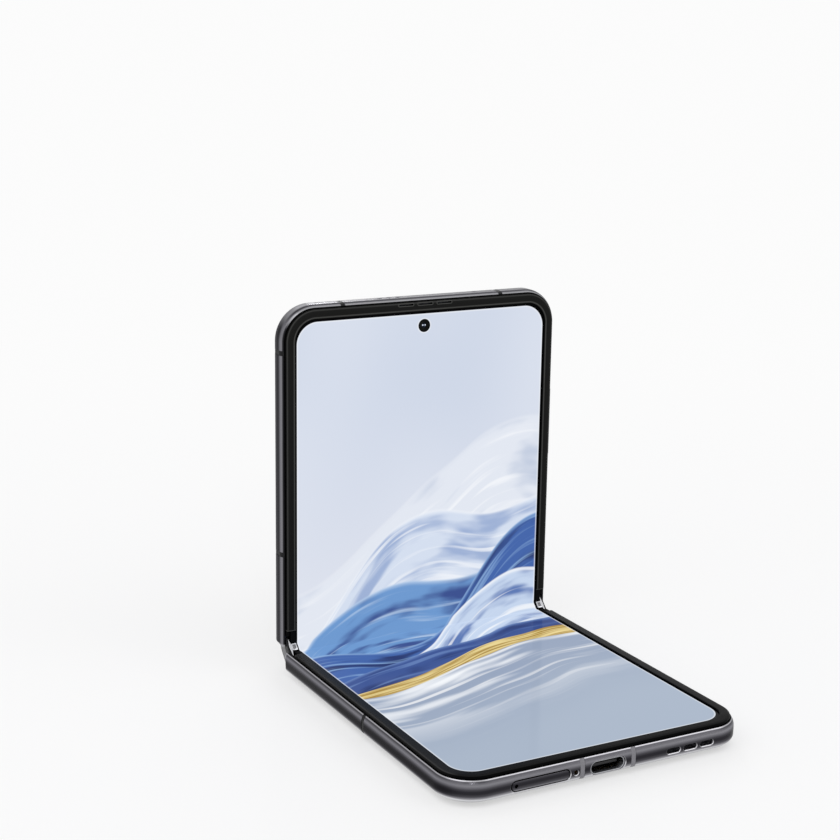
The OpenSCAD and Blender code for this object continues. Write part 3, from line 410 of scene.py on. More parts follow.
front_turn = math.acos((FRONT_R - RIM_FRONT) / FRONT_R)
front_curve = [front_turn * i / 12 for i in range(13)]
frame_profile = (
    curve_points(RIM_BACK, 0, 0)
    + [(FRONT_R * (1 - math.cos(a)), THICK - FRONT_R + FRONT_R * math.sin(a)) for a in front_curve]
    + [(RIM_FRONT, LEDGE), (WALL, LEDGE), (WALL, curve_back(WALL) + 0.95)]
    + [(RIM_BACK, curve_back(RIM_BACK) + 0.95)]
)


def frame_body():
    """The frame's bar. Beside the fold its back corner is drawn in on a round."""
    points, faces = swept(frame_profile, rim_path(BAR_U))
    n = len(frame_profile)
    loops = [points[i:i + n] for i in range(0, len(points), n)]

    def drawn_in(loop, turn):
        inwards, along = 1.1 * (1 - math.cos(turn)), 1.1 * (math.sin(ends[0]) - math.sin(turn))
        eased = []
        for i, (x, u, w) in enumerate(loop):
            share = min(1, max(0, (5.2 - w) / 1.6)) if i < 29 else 0
            side = 1 if x < 0 else -1
            d, h = frame_profile[i]
            up = min(1, max(0, (CURVE_H - h) / CURVE_H)) ** 0.5
            eased.append((x + side * inwards * share * (1 - 0.6 * up), BAR_U + along, w + inwards * share * up))
        return eased
    ends = [math.radians(a) for a in (70, 50, 30, 12, 0)]
    first = [drawn_in(loops[0], t) for t in ends]
    last = [drawn_in(loops[-1], t) for t in ends]
    return stacked(first + loops[1:-1] + last[::-1])


def fold_pocket():
    """What the spine and its caps need as room in a half, as bodies turned about the hinge axis."""
    def ring(x, r):
        turns = [2 * math.pi * i / 64 for i in range(64)]
        return [(x, AXIS_U + r * math.cos(a), AXIS_W + r * math.sin(a)) for a in turns]
    rooms = [stacked([ring(-37.1, 5.11), ring(-34.4, 5.65), ring(34.4, 5.65), ring(37.1, 5.11)])]
    return rooms + [stacked([ring(x - 1.3, 1.95), ring(x + 1.3, 1.95)]) for x in (-36.1, 36.1)]


def end_hole(x, w, length, height, depth=5.0, flare=0.14):
    """A hole through the end wall with a small chamfer round its mouth."""
    return stacked([
        on_end(pill(x, w, length, height), LENGTH - depth),
        on_end(pill(x, w, length, height), LENGTH - flare),
        on_end(pill(x, w, length, height, -3 * flare), LENGTH + 2 * flare),
    ])


def side_hole(u, w, length, height, flare=0.12):
    """A hole through the right side wall with a small chamfer round its mouth."""
    return stacked([
        on_side(pill(u, w, length, height), SIDE - 4),
        on_side(pill(u, w, length, height), SIDE - flare),
        on_side(pill(u, w, length, height, -3 * flare), SIDE + 2 * flare),
    ])


BAND = 1.2
base_bands = {"end": (-6.6, 6.6), "left": (43.4,), "right": ()}
lid_bands = {"end": (-22, 22), "left": (24, 74), "right": (35.6,)}


def band_slots(bands):
    """The slots that the antenna bands fill."""
    half = BAND / 2
    return (
        [block(x - half, x + half, LENGTH - 3, LENGTH + 1, -1, 8) for x in bands["end"]]
        + [block(-SIDE - 1, 3 - SIDE, u - half, u + half, -1, 8) for u in bands["left"]]
        + [block(SIDE - 3, SIDE + 1, u - half, u + half, -1, 8) for u in bands["right"]]
    )


TRAY_X, TRAY_LEN, TRAY_H = -17.0, 14.6, 2.4
MIC_X, MIC_R = -8.2, 0.55
SLOT_X, SLOT_PITCH, SLOT_LEN, SLOT_H = 21.8, 4.5, 3.6, 1.2
base_holes = [
    end_hole(0, PORT_W, 9.04, 3.26),
    end_hole(TRAY_X, PORT_W, TRAY_LEN + 0.2, TRAY_H + 0.2),
    end_hole(MIC_X, PORT_W, 2 * MIC_R, 2 * MIC_R),
] + [end_hole(SLOT_X + i * SLOT_PITCH, PORT_W, SLOT_LEN, SLOT_H) for i in (-1, 0, 1)]
frame_metal = frame_finish(
    "frame_metal", [(0, PORT_W, 9.04, 3.26), (TRAY_X, PORT_W, TRAY_LEN + 0.2, TRAY_H + 0.2),
                    (MIC_X, PORT_W, 2 * MIC_R, 2 * MIC_R)]
    + [(SLOT_X + i * SLOT_PITCH, PORT_W, SLOT_LEN, SLOT_H) for i in (-1, 0, 1)],
    # painted reflection, highlight and shade bands over the height: the sides first, then the far end
    [(0, "58575b"), (1.1, "68676b"), (1.28, "fcfcfe"), (1.9, "fcfcfe"), (2.2, "98979c"), (2.6, "3a393e"), (3.0, "1b1a1e"),
     (3.6, "131216"), (4.0, "1e1d21"), (4.4, "3a393e"), (4.8, "66656b"), (5.15, "84838a"), (5.45, "77767c"), (5.75, "4a494e"),
     (5.88, "68676c"), (5.96, "bab9be"), (6.09, "bab9be"), (6.16, "101012"), (7, "101012")],
    [(0, "58575b"), (1.1, "68676b"), (1.28, "e4e4e8"), (1.85, "e4e4e8"), (2.2, "98979c"), (2.7, "4c4b50"), (3.3, "28272b"),
     (3.8, "29282d"), (4.3, "4a494e"), (4.7, "6e6d73"), (5.1, "8e8d93"), (5.4, "7d7c82"), (5.75, "504f54"), (5.88, "6e6d72"),
     (5.96, "c8c7cc"), (6.09, "c8c7cc"), (6.16, "101012"), (7, "101012")])
make("base_frame_metal", "base", frame_body(), in_base, frame_metal, "frame_metal",
     "base_frame", cuts=[*fold_pocket(), *band_slots(base_bands), *base_holes], bevel=0.1)

KEY_W, KEY_H = 3.5, 2.1
ROCKER_U, ROCKER_LEN, POWER_U, POWER_LEN = 49.6, 18.9, 23.3, 13.4
lid_holes = [
    end_hole(15.9, PORT_W, 2 * MIC_R, 2 * MIC_R),
    *[end_hole(x, PORT_W + 0.4, 1.15, 1.15) for x in (-11.0, -8.5, -6.0)],
    side_hole(ROCKER_U, KEY_W, ROCKER_LEN + 0.2, KEY_H + 0.2),
    side_hole(POWER_U, KEY_W, POWER_LEN + 0.2, KEY_H + 0.2),
]
lid_metal = frame_finish(
    "lid_metal", [],
    # painted reflection, highlight and shade bands over the height: the sides first, then the far end
    [(0, "4a494d"), (1.1, "505054"), (1.3, "848388"), (1.7, "48474c"), (2.4, "48474c"), (2.9, "4c4b50"), (3.5, "28272c"),
     (4.0, "201f24"), (4.5, "38373c"), (5.1, "7c7b81"), (5.6, "838287"), (5.85, "2a292d"), (6.0, "141416"), (7, "141416")],
    [(0, "4a494d"), (1.2, "3c3b40"), (1.3, "3c3b40"), (1.5, "b4b4b8"), (2.4, "8c8b90"), (3.2, "9a999e"), (4.4, "a8a8ac"),
     (4.8, "88878c"), (5.15, "3a393e"), (5.5, "48474c"), (5.9, "b0b0b4"), (6.08, "b0b0b4"), (6.16, "141416"), (7, "141416")])
make("lid_frame_metal", "lid", frame_body(), in_lid, lid_metal, "frame_metal",
     "lid_frame", cuts=[*fold_pocket(), *band_slots(lid_bands), *lid_holes], bevel=0.1)

# The antenna bands.
# Resin is moulded into slots of the frame before it is milled, so that its face is flush
# with the metal. The bands in the base's far end are drawn a grey lighter than the metal, all the others near black.
def band_finish(name, dark, light):
    """Moulded resin with a faint mottle."""
    made = Finish(name, IOR=1.3, Specular_IOR_Level=0.3)
    mottle = made.noise(made.place((3, 3, 3)), detail=4.0)
    return made.set(
        Base_Color=made.mix(mottle, tint(dark), tint(light)),
        Roughness=0.38 + mottle * 0.12,
        Normal=made.bump(mottle, 0.05, 0.00002),
    )


band_plastic = band_finish("band_plastic", "77767b", "87868b")
side_band_plastic = band_finish("side_band_plastic", "131315", "1b1b1d")


def bands(body, place, layout, node):
    """All bands of a half: pieces cut out of the frame's bar, a hair inside its face."""
    half = BAND / 2 - 0.025
    rooms = [block(x - half, x + half, LENGTH - 2.2, LENGTH + 1, -1, 8) for x in layout["end"]]
    rooms += [block(-SIDE - 1, 2.2 - SIDE, u - half, u + half, -1, 8) for u in layout["left"]]
    rooms += [block(SIDE - 2.2, SIDE + 1, u - half, u + half, -1, 8) for u in layout["right"]]
    inner = [(max(d, 0.03) + (0.03 if d < 2 else 0), w + (0.03 if w < 4 else -0.03)) for d, w in frame_profile]
    for i, room in enumerate(rooms):
        keep = swept(inner, rim_path(BAR_U))
        piece = plain_object(f"{node}_{i}", *keep)
        tool = plain_object("room", *room)
        cutting = piece.modifiers.new("cutting", "BOOLEAN")
        cutting.operation, cutting.solver, cutting.object = "INTERSECT", "EXACT", tool
        bpy.context.view_layer.update()
        final = bpy.data.meshes.new_from_object(piece.evaluated_get(bpy.context.evaluated_depsgraph_get()))
        shape = [v.co[:] for v in final.vertices], [tuple(f.vertices) for f in final.polygons]
        bpy.data.objects.remove(piece)
        bpy.data.objects.remove(tool)
        pale = body == "base" and i < len(layout["end"])
        make(f"{node}_{i + 1}", body, shape, place, band_plastic if pale else side_band_plastic, "band_plastic", node)


bands("base", in_base, base_bands, "base_antenna_bands")
bands("lid", in_lid, lid_bands, "lid_antenna_bands")

# The hinge bars of the back.
# A smooth metal bar closes each half's back beside the fold. It is anodised like the frame,
# with polished edges, and screwed to the frame from inside.
bar_metal = blasted_metal("hinge_bar_metal", "616067", "75747b", 0.26)
LEATHER_U = 3.05
bar_in = 0.05


def bar_shape():
    """The bar: flat on the back, with its ends following the frame's curved edge."""
    loops = []
    x1 = SIDE - RIM_BACK - bar_in
    xs = [(-1 + 2 * i / 60) * x1 for i in range(61)]
    for x in sorted(set(xs + [s * (SIDE - d) for s in (-1, 1) for d in np.linspace(RIM_BACK + bar_in, CURVE_W, 16)])):
        low = float(curve_back(SIDE - abs(x)))
        top = low + 0.85
        loops.append([(x, 0.42, top), (x, 0.42, low + 0.28), (x, 0.5, low + 0.1), (x, 0.68, low),
                      (x, LEATHER_U - 0.62, low), (x, LEATHER_U - 0.46, low + 0.06),
                      (x, LEATHER_U - 0.36, low + 0.2), (x, LEATHER_U - 0.34, top)])
    return stacked(loops)


for body, place in (("base", in_base), ("lid", in_lid)):
    make(f"{body}_bar_metal", body, bar_shape(), place, bar_metal, "hinge_bar_metal", f"{body}_hinge_bar",
         cuts=fold_pocket()[:1], sharp=40)

# The leather backs.
# Thin grained leather-like sheet, pressed over a plastic plate so that its edges roll down into
# the frame. On the lid it rises round the cover window as a soft lip.
LEATHER_T, EDGE_D, SKIN = 0.5, 1.45, 0.9
GLASS_X0, GLASS_X1, GLASS_U0, GLASS_U1 = -31.66, 31.87, 42.2, 79.6
GLASS_W0, GLASS_W1 = -0.45, 0.15
LIP, PLATEAU = 1.6, 0.55
glass_radii = [18.69, 3.2, 3.2, 18.69]
leather_radii = [3, 3, CORNER - EDGE_D, CORNER - EDGE_D]

leather = Finish("leather", IOR=1.45, Specular_IOR_Level=0.42)
at = leather.place()
fold_grain = leather.node("TexVoronoi", {"feature": "DISTANCE_TO_EDGE"},
                          {"Vector": leather.node("VectorMath", {"operation": "ADD"}, {
                              0: at, 1: leather.node("VectorMath", {"operation": "SCALE"}, {
                                  0: leather.noise(at, 1.6, 2.0, out="Color"), "Scale": 0.7})}), "Scale": 1.5})
pebbles = leather.remap(fold_grain, 0.0, 0.28)
creases = leather.noise(leather.place((0.35, 0.9, 0.5)), 1.0, 4.0, 0.6)
fine = leather.noise(at, 5.0, 3.0, 0.6)
wear = leather.noise(leather.place((0.06, 0.06, 0.06)), 1.0, 3.0)
lip = leather.node("Attribute", {"attribute_name": "lip"}, out="Fac")
hide = leather.mix(pebbles * (0.55 + 0.45 * wear), tint("222124"), tint("38373b"))
# painted highlight: lighter where the edge rolls down into the frame
hide = leather.mix(leather.remap(leather.inset(), 4.5, 2.0) * 0.3, hide, tint("5a595e"))
# painted highlight on the lip's crest, painted shadow at its foot and painted shade next to the glass
hide = leather.mix(leather.remap(lip, 1.2, 1.7) * 0.35, hide, tint("5c5b60"))
hide = leather.mix(leather.remap(lip, 0.1, 0.6) * leather.remap(lip, 1.4, 0.9) * 0.75, hide, tint("0c0c0e"))
hide = leather.mix(leather.remap(lip, 2.15, 2.4) * 0.8, hide, tint("0c0c0e"))
leather = leather.set(
    Base_Color=hide,
    Roughness=0.62 - pebbles * 0.1 + fine * 0.1,
    Normal=leather.bump(pebbles * 0.6 + fine * 0.15 + creases * 0.6, 0.5, 0.00007),
)


def edge_roll(d):
    """How far the leather's top edge rolls down near its rim."""
    roll = 0.35
    d = np.clip(d, 0, roll)
    return roll - np.sqrt(np.maximum(roll ** 2 - (roll - d) ** 2, 0))


def rounded_distance(x, u, x0, x1, u0, u1, radii):
    """Distance inwards from a rounded rectangle's outline, negative outside."""
    cx, cu = (x0 + x1) / 2, (u0 + u1) / 2
    r = np.where(u < cu, np.where(x < cx, radii[0], radii[1]), np.where(x < cx, radii[3], radii[2]))
    qx = np.abs(x - cx) - (x1 - x0) / 2 + r
    qu = np.abs(u - cu) - (u1 - u0) / 2 + r
    return -(np.hypot(np.maximum(qx, 0), np.maximum(qu, 0)) + np.minimum(np.maximum(qx, qu), 0) - r)


def leather_height(x, u, with_lip):
    """Height of the leather's face over the plane of the back."""
    side = np.minimum(SIDE - np.abs(x), 99)
    corner = np.where((u > LENGTH - CORNER) & (np.abs(x) > SIDE - CORNER),
                      CORNER - np.hypot(np.abs(x) - SIDE + CORNER, u - LENGTH + CORNER), 99)
    rim = np.minimum(np.where(corner < 99, 99, side), np.minimum(np.where(corner < 99, 99, LENGTH - u), corner))
    inward = rounded_distance(x, u, EDGE_D - SIDE, SIDE - EDGE_D, LEATHER_U, LENGTH - EDGE_D, leather_radii)
    height = curve_back(rim) + edge_roll(inward)
    if with_lip:
        away = -rounded_distance(x, u, GLASS_X0, SIDE + 30, GLASS_U0, GLASS_U1, glass_radii)
        rise = np.clip((LIP - away) / LIP, 0, 1)
        height = height - PLATEAU * rise * rise * (3 - 2 * rise) * np.clip(rim / 3.5, 0, 1)
    return height


def leather_shape(with_lip):
    """The sheet: rings along its outline, a grid inside, a hole for the window, and a closed back."""
    args = (EDGE_D - SIDE, SIDE - EDGE_D, LEATHER_U, LENGTH - EDGE_D, leather_radii)
    rings = [outline(*args, inset) for inset in (0, 0.06, 0.14, 0.24, 0.36, 0.7, 1.2, 1.8, 2.5, 3.4)]
    points, edges = [], []

    def add(ring):
        start = len(points)
        points.extend(ring)
        edges.extend((start + i, start + (i + 1) % len(ring)) for i in range(len(ring)))
    for ring in rings:
        add(ring)
    inner = []
    if with_lip:
        window = (GLASS_X0 - 0.08, GLASS_X1 + 0.08, GLASS_U0 - 0.08, GLASS_U1 + 0.08, glass_radii)
        inner = [outline(*window, -grow, steps=24) for grow in (0, 0.2, 0.45, 0.7, 0.95, 1.2, 1.45, 1.7)]
        for ring in inner:
            add(ring)
    x, u = (a.ravel() for a in np.meshgrid(np.arange(-33.5, 34, 2.4), np.arange(7, 81.5, 2.4)))
    inside = rounded_distance(x, u, *args) > 4.2
    if with_lip:
        inside &= rounded_distance(x, u, *window) < -2.4
    points.extend(zip(x[inside], u[inside]))
    flat, _, faces, _, _, _ = geometry.delaunay_2d_cdt([Vector(p) for p in points], edges, [], 0, 1e-5)
    flat = np.array([p[:] for p in flat])
    kept = []
    for face in faces:
        mx, mu = flat[list(face)].mean(axis=0)
        if rounded_distance(mx, mu, *args) < 0:
            continue
        if with_lip and rounded_distance(mx, mu, *window) > 0:
            continue
        kept.append(tuple(face))
    used = sorted({i for face in kept for i in face})
    lookup = {old: new for new, old in enumerate(used)}
    kept = [tuple(lookup[i] for i in face) for face in kept]
    x, u = flat[used].T
    top = leather_height(x, u, with_lip)
    floor = leather_height(x, u, False) + LEATHER_T - edge_roll(rounded_distance(x, u, *args))
    n = len(used)
    shape = list(zip(x, u, top)) + list(zip(x, u, np.maximum(floor, top + 0.12)))
    sides = {}
    for face in kept:
        for a, b in zip(face, face[1:] + face[:1]):
            sides[(a, b)] = True
    walls = [(a, b, b + n, a + n) for a, b in sides if (b, a) not in sides]
    return shape, kept + [tuple(i + n for i in face[::-1]) for face in kept] + walls


make("base_leather_back", "base", leather_shape(False), in_base, leather, "leather", "base_leather", sharp=50)
lid_back = make("lid_leather_back", "lid", leather_shape(True), in_lid, leather, "leather", "lid_leather", sharp=50)
at = np.empty(len(lid_back.data.vertices) * 3, np.float32)
lid_back.data.attributes["sheet"].data.foreach_get("vector", at)
away = -rounded_distance(at[0::3], at[1::3], GLASS_X0, GLASS_X1, GLASS_U0, GLASS_U1, glass_radii)
lid_back.data.attributes.new("lip", "FLOAT", "POINT").data.foreach_set("value", np.clip(2.5 - away, 0, 2.5).astype(np.float32))

# The bezels and their seals.
# A moulded black plastic edge is glued over the screen's border. The highlights along its thin lips
# are painted into its colour. A soft rubber seal fills the groove between it and the metal rim.
BEZEL_D, BEZEL_W, CROWN, GROOVE_TOP = 0.95, 2.4, 0.22, 6.02
BEZEL_U = 4.5
EAR_U, EAR_LEN, EAR_H, EAR_PITCH = 83.7, 4.0, 0.4, 5.35


def bezel_finish(name, *lips, slots=False, far=1.0):
    """Black plastic with painted highlight and shade lines along its lips and a painted highlight along its fold end;
    far below 1 paints shade over the far end, and slots paints highlights round the earpiece slots and shade inside
    them.
    """
    made = Finish(name, IOR=1.2, Specular_IOR_Level=0.12)
    sprinkle = made.noise(made.place((7, 7, 7)), detail=3.0)
    haze = made.noise(made.place((0.12, 0.12, 0.12)), detail=2.0)
    body = made.mix(haze * 0.12, made.shades(made.inset(), *lips), tint("2a2a2a"))
    # painted shade over the far end, as much as far leaves out
    body = made.mix(made.remap(made.axes()[1], 79.5, 82.0) * (1 - far), body, tint("020203"))
    if slots:
        x, u, _ = made.axes()
        x = x.math("ABSOLUTE")
        x = x.math("MINIMUM", (x - EAR_PITCH).math("ABSOLUTE")) - (EAR_LEN - EAR_H) / 2
        away = (x.math("MAXIMUM", 0) ** 2 + (u - EAR_U) * (u - EAR_U)).math("SQRT") - EAR_H / 2
        # painted highlight round the earpiece slots and painted shade inside them
        body = made.mix(made.remap(away, 0.26, 0.16), body, tint("4c4c4a"))
        body = made.mix(made.remap(away, 0.08, 0.0), body, tint("030303"))
    # painted highlight along the end by the fold
    return made.set(
        Base_Color=made.mix(made.remap(made.axes()[1], BEZEL_U + 0.3, BEZEL_U + 0.1) * 0.6, body, tint("5a5a58")),
        Roughness=0.34 + sprinkle * 0.1 + haze * 0.06,
        Normal=made.bump(sprinkle, 0.06, 0.00002),
    )


# painted highlight and shade lines, by the distance inwards from the outline
base_bezel_plastic = bezel_finish(
    "base_bezel_plastic", (0.95, "050505"), (1.0, "080808"), (1.1, "363636"), (1.3, "303031"), (1.5, "1e1e1f"),
    (2.2, "19191a"), (3.0, "151516"), (3.4, "0a0a0b"), far=0.25)
lid_bezel_plastic = bezel_finish(
    "lid_bezel_plastic", (0.95, "050505"), (1.0, "080808"), (1.12, "3c3c3b"), (1.3, "343433"), (1.45, "1b1b1a"),
    (2.75, "181817"), (2.88, "444442"), (3.12, "40403e"), (3.2, "080808"), (3.4, "050505"), slots=True)
bezel_profile = [(0.97, 5.93)] + [
    (0.97 + 2.36 * t, THICK - 0.012 - (CROWN if t < 0.5 else 0.05) * (2 * t - 1) ** 4) for t in np.linspace(0, 1, 25)
] + [(BEZEL_D + BEZEL_W - 0.02, 6.62), (2.43, 6.62), (2.43, 5.93)]
ear_slots = []
for i in (-1, 0, 1):
    x = i * EAR_PITCH
    ear_slots.append(stacked([
        level(pill(x, EAR_U, EAR_LEN, EAR_H), 5.5),
        level(pill(x, EAR_U, EAR_LEN, EAR_H), THICK - 0.08),
        level(pill(x, EAR_U, EAR_LEN, EAR_H, -0.12), THICK + 0.1),
    ]))


make("base_bezel_moulding", "base", swept(bezel_profile, rim_path(BEZEL_U)), in_base, base_bezel_plastic,
     "bezel_plastic", "base_bezel", bevel=0.06, sharp=40)
make("lid_bezel_moulding", "lid", swept(bezel_profile, rim_path(BEZEL_U)), in_lid, lid_bezel_plastic,
     "bezel_plastic", "lid_bezel", cuts=ear_slots, bevel=0.06, sharp=40)

black_rubber = Finish("black_rubber", IOR=1.3, Specular_IOR_Level=0.15)
dust = black_rubber.noise(black_rubber.place((4, 4, 4)), detail=4.0)
black_rubber = black_rubber.set(
    Base_Color=black_rubber.mix(dust, tint("050506"), tint("0b0b0c")),
    Roughness=0.7 + dust * 0.15,
    Normal=black_rubber.bump(dust, 0.1, 0.00003),
)
seal_profile = [(0.67, 5.92), (0.93, 5.92), (0.93, GROOVE_TOP), (0.8, GROOVE_TOP + 0.04), (0.67, GROOVE_TOP)]
for body, place in (("base", in_base), ("lid", in_lid)):
    make(f"{body}_seal", body, swept(seal_profile, rim_path(BEZEL_U)), place, black_rubber,
         "black_rubber", f"{body}_gasket", sharp=60)

# The folding screen.
# One flexible panel runs over both halves. Near the fold it is loose and bends to a tight,
# smooth curve; a steel sheet carries it elsewhere. Its picture is a generic one of silky waves.
SCREEN_D, SCREEN_W0, SCREEN_W1 = 2.45, 5.66, 6.55
BEND_U = 1.9
SCREEN_X = SIDE - SCREEN_D

screen = Finish("screen", IOR=1.07, Roughness=0.1)
px, py, pw = screen.axes(screen.node("Attribute", {"attribute_name": "picture"}, out="Vector"))


def wave(across, rise, lean, swing, length, phase, seed, roughness=1.0):
    """Height over a long soft wave: 0 on its crest line, growing downwards, in mm."""
    wander = screen.noise(screen.node("CombineXYZ", None, {0: across * 0.02, 1: py * 0.006, 2: seed}), 1.0, 1.5) - 0.5
    crest = rise + across * lean + (across * (2 * math.pi / length) + phase).math("SINE") * swing + wander * (26 * roughness)
    return crest - py


def folds(depth, across, seed, spread, stretch=0.05):
    """Fine silk folds that fan out below a crest."""
    at = screen.node("CombineXYZ", None, {0: across * stretch + depth * 0.012, 1: depth * (1 / spread), 2: seed})
    return screen.noise(at, 1.0, 2.5, 0.5)


# from the sky of the picture down to its lowest band
sky = screen.mix(screen.remap(py, 75, -10), tint("ccd5e6"), tint("dfe3ee"))
glow = screen.remap(screen.noise(screen.node("CombineXYZ", None, {0: px * 0.02, 1: py * 0.012, 2: 3.1}), 1.0, 1.0), 0.3, 0.8)
sky = screen.mix(glow * 0.5, sky, tint("e9edf6"))
picture = sky
for rise, lean, swing, length, phase, seed, spread, deep, mid, pale, soft in (
    (34, 0.42, 8, 92, 0.6, 11.3, 9, "c3cde0", "e3e8f2", "f6f8fc", 2.2),
    (22, 0.52, 9, 80, 2.1, 23.7, 7, "9fb2d6", "d5dff0", "f4f7fc", 1.2),
    (12, 0.62, 9, 88, 3.3, 35.1, 6, "3d5290", "6f9ad0", "b9d0ec", 0.8),
    (1, 0.50, 8, 70, 4.9, 47.9, 5, "2c3a6e", "4667ab", "8fb3df", 0.7),
    (-9, 0.36, 6, 84, 5.6, 59.3, 5, "5c78b4", "c6d6ee", "f8fafd", 0.6),
    (-17, 0.25, 5, 96, 1.0, 71.9, 6, "2f3f75", "3f5694", "6a86bd", 0.5),
):
    depth = wave(px, rise, lean, swing, length, phase, seed)
    silk = folds(depth, px, seed, spread)
    ridge = folds(depth, px, seed + 5, spread * 0.35, 0.03)
    body = screen.mix(screen.remap(silk, 0.34, 0.52), tint(deep), tint(mid))
    body = screen.mix(screen.remap(ridge, 0.52, 0.68) * 0.75, body, tint(pale))
    body = screen.mix(screen.remap(depth, 1.8, 0.0), body, tint(pale))
    picture = screen.mix(screen.remap(depth, 0, soft), picture, body)
# the gold ribbon and the pale ground under it
ribbon = wave(px, -22, 0.16, 4.5, 104, 0.4, 83.3, 0.7)
grain = screen.noise(screen.node("CombineXYZ", None, {0: px * 0.05, 1: ribbon * 1.6, 2: 9.0}), 1.0, 3.0)
gold = screen.mix(screen.remap(grain, 0.35, 0.65), tint("a8863a"), tint("ecd896"))
picture = screen.mix(screen.remap(ribbon, 0, 0.4), picture, gold)
ground = wave(px, -25.5, 0.15, 4.2, 98, 0.55, 83.9, 0.7)
streak = folds(ground, px, 97.1, 7, 0.02)
strong = screen.remap(ground, 34, 2)
base_tone = screen.mix(screen.remap(ground, 0, 45), tint("97a5bd"), tint("a9b6c8"))
base_tone = screen.mix(screen.remap(streak, 0.46, 0.64) * strong, base_tone, tint("f3f6fa"))
fine_streak = folds(ground, px, 107.1, 2.2, 0.015)
base_tone = screen.mix(screen.remap(fine_streak, 0.55, 0.7) * strong * 0.7, base_tone, tint("ffffff"))
picture = screen.mix(screen.remap(ground, 0, 0.5), picture, base_tone)

# the picture ends in a thin black border with round corners
EDGE_X, EDGE_Y, EDGE_R = SIDE - 3.78, LENGTH - 3.98, 5.5
qx = (px.math("ABSOLUTE") - (EDGE_X - EDGE_R)).math("MAXIMUM", 0)
qy = (py.math("ABSOLUTE") - (EDGE_Y - EDGE_R)).math("MAXIMUM", 0)
corner = (qx * qx + qy * qy).math("SQRT")
hole = (px * px + (py - 78.2) * (py - 78.2)).math("SQRT")
# a painted pale highlight along the picture's edge and round the selfie hole
painted_rim_highlight = screen.remap(corner, EDGE_R - 0.5, EDGE_R - 0.2).math("MAXIMUM", screen.remap(hole, 2.05, 1.8))
picture = screen.mix(painted_rim_highlight * 0.55, picture, tint("f4f6fa"))
lit = screen.remap(corner, EDGE_R, EDGE_R - 0.08, kind="LINEAR") * screen.remap(hole, 1.61, 1.68, kind="LINEAR")
lit = lit * screen.remap(pw, 6.4, 6.5, kind="LINEAR")
screen = screen.set(
    Base_Color=tint("050506"),
    Emission_Color=screen.mix(lit, (0, 0, 0), picture),
    Emission_Strength=1.0,
)


def picture_place(thing, sign):
    """Stores each point's place on the flat picture: across, and along towards the lid."""
    mesh = thing.data
    co = np.empty(len(mesh.vertices) * 3, np.float32)
    mesh.attributes["sheet"].data.foreach_get("vector", co)
    co = co.reshape(-1, 3)
    co[:, 1] *= sign
    mesh.attributes.new("picture", "FLOAT_VECTOR", "POINT").data.foreach_set("vector", co.ravel())


def rigid_screen():
    """The rigid part: a flat sheet from the start of the bend to the far end."""
    def ring(inset, w):
        r = CORNER - SCREEN_D - inset
        x1, u1 = SCREEN_X - inset, LENGTH - SCREEN_D - inset
        far = outline(-x1, x1, BEND_U, u1, [0.02, 0.02, r, r], 0, 24)
        return level([(x, max(u, BEND_U)) for x, u in far], w)
    return stacked([ring(0, SCREEN_W0), ring(0, SCREEN_W1)])


selfie_hole = stacked([level(pill(0, 78.2, 3.2, 3.2), 5), level(pill(0, 78.2, 3.2, 3.2), 8)])
base_screen = make("base_screen", "base", rigid_screen(), in_base, screen, "screen",
                   "display_base", "display_fold_base", sharp=30)
lid_screen = make("lid_screen", "lid", rigid_screen(), in_lid, screen, "screen",
                  "display_lid", "display_fold_lid", cuts=[selfie_hole], sharp=30)
picture_place(base_screen, -1)
picture_place(lid_screen, 1)


def half_turned(u, w, share=1.0):
    """Where a point of a flat half stands at rest if the spine carries this share of it."""
    a = np.radians(45) * share
    du, dw = u - AXIS_U, w - AXIS_W
    return AXIS_U + du * np.cos(a) + dw * np.sin(a), AXIS_W - du * np.sin(a) + dw * np.cos(a)


BEND_START = (BEND_U, AXIS_W)
BEND_END = half_turned(0, AXIS_W)


def bent(points, start=BEND_START, end=BEND_END):
    """Where loose points beside the fold stand at rest, from where they lie when the phone is flat.
    """
    x, u, w = np.array(points, float).T
    along = np.array(end) - np.array(start)
    low, high = np.zeros_like(u), np.ones_like(u)
    for _ in range(40):
        middle = (low + high) / 2
        nu, nw = half_turned(u, w, middle)
        t = np.clip(((nu - start[0]) * along[0] + (nw - start[1]) * along[1]) / (along @ along), 0, 1)
        more = t * t * (3 - 2 * t) > middle
        low, high = np.where(more, middle, low), np.where(more, high, middle)
    nu, nw = half_turned(u, w, high)
    return np.column_stack((x, nu, nw))


def loose(name, body, loops, finish, slot, *nodes, start=BEND_START, end=BEND_END):
    """A flexible piece beside the fold, drawn flat and bent to its place at rest."""
    place = in_base if body == "base" else in_lid
    thing = make(name, None, stacked(loops), lambda p: place(bent(p, start, end)), finish, slot, *nodes, sharp=40)
    if body == "base":
        thing.data.flip_normals()
    tuple(place([(0, *start)])[0])
    tuple(place([(0, *end)])[0])
    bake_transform(thing)
    return thing


def led(section, u_stops):
    """Loops of one (across, height) section at several distances from the fold."""
    return [[(x, u, w) for x, w in section] for u in u_stops]


bend_stops = [BEND_U * (1 - i / 28) for i in range(29)]
for body, sign in (("base", -1), ("lid", 1)):
    xs = np.linspace(-SCREEN_X, SCREEN_X, 41)
    section = [(x, SCREEN_W0) for x in xs] + [(x, SCREEN_W1) for x in xs[::-1]]
    strip = loose(f"{body}_screen_bend", body, led(section, bend_stops), screen, "screen")
    picture_place(strip, sign)
    for side in (-1, 1):
        edge = [(side * x, w) for x, w in ((34.95, 6.57), (36.25, 6.57), (36.25, 6.64), (36.15, 6.66),
                                           (35.05, 6.66), (34.95, 6.64))]
        stops = [BEZEL_U - 0.02] + [2.9 - i * 0.2 for i in range(5)] + bend_stops
        loose(f"{body}_edge_trim_{side}", body, led(edge, stops), black_rubber, "black_rubber")

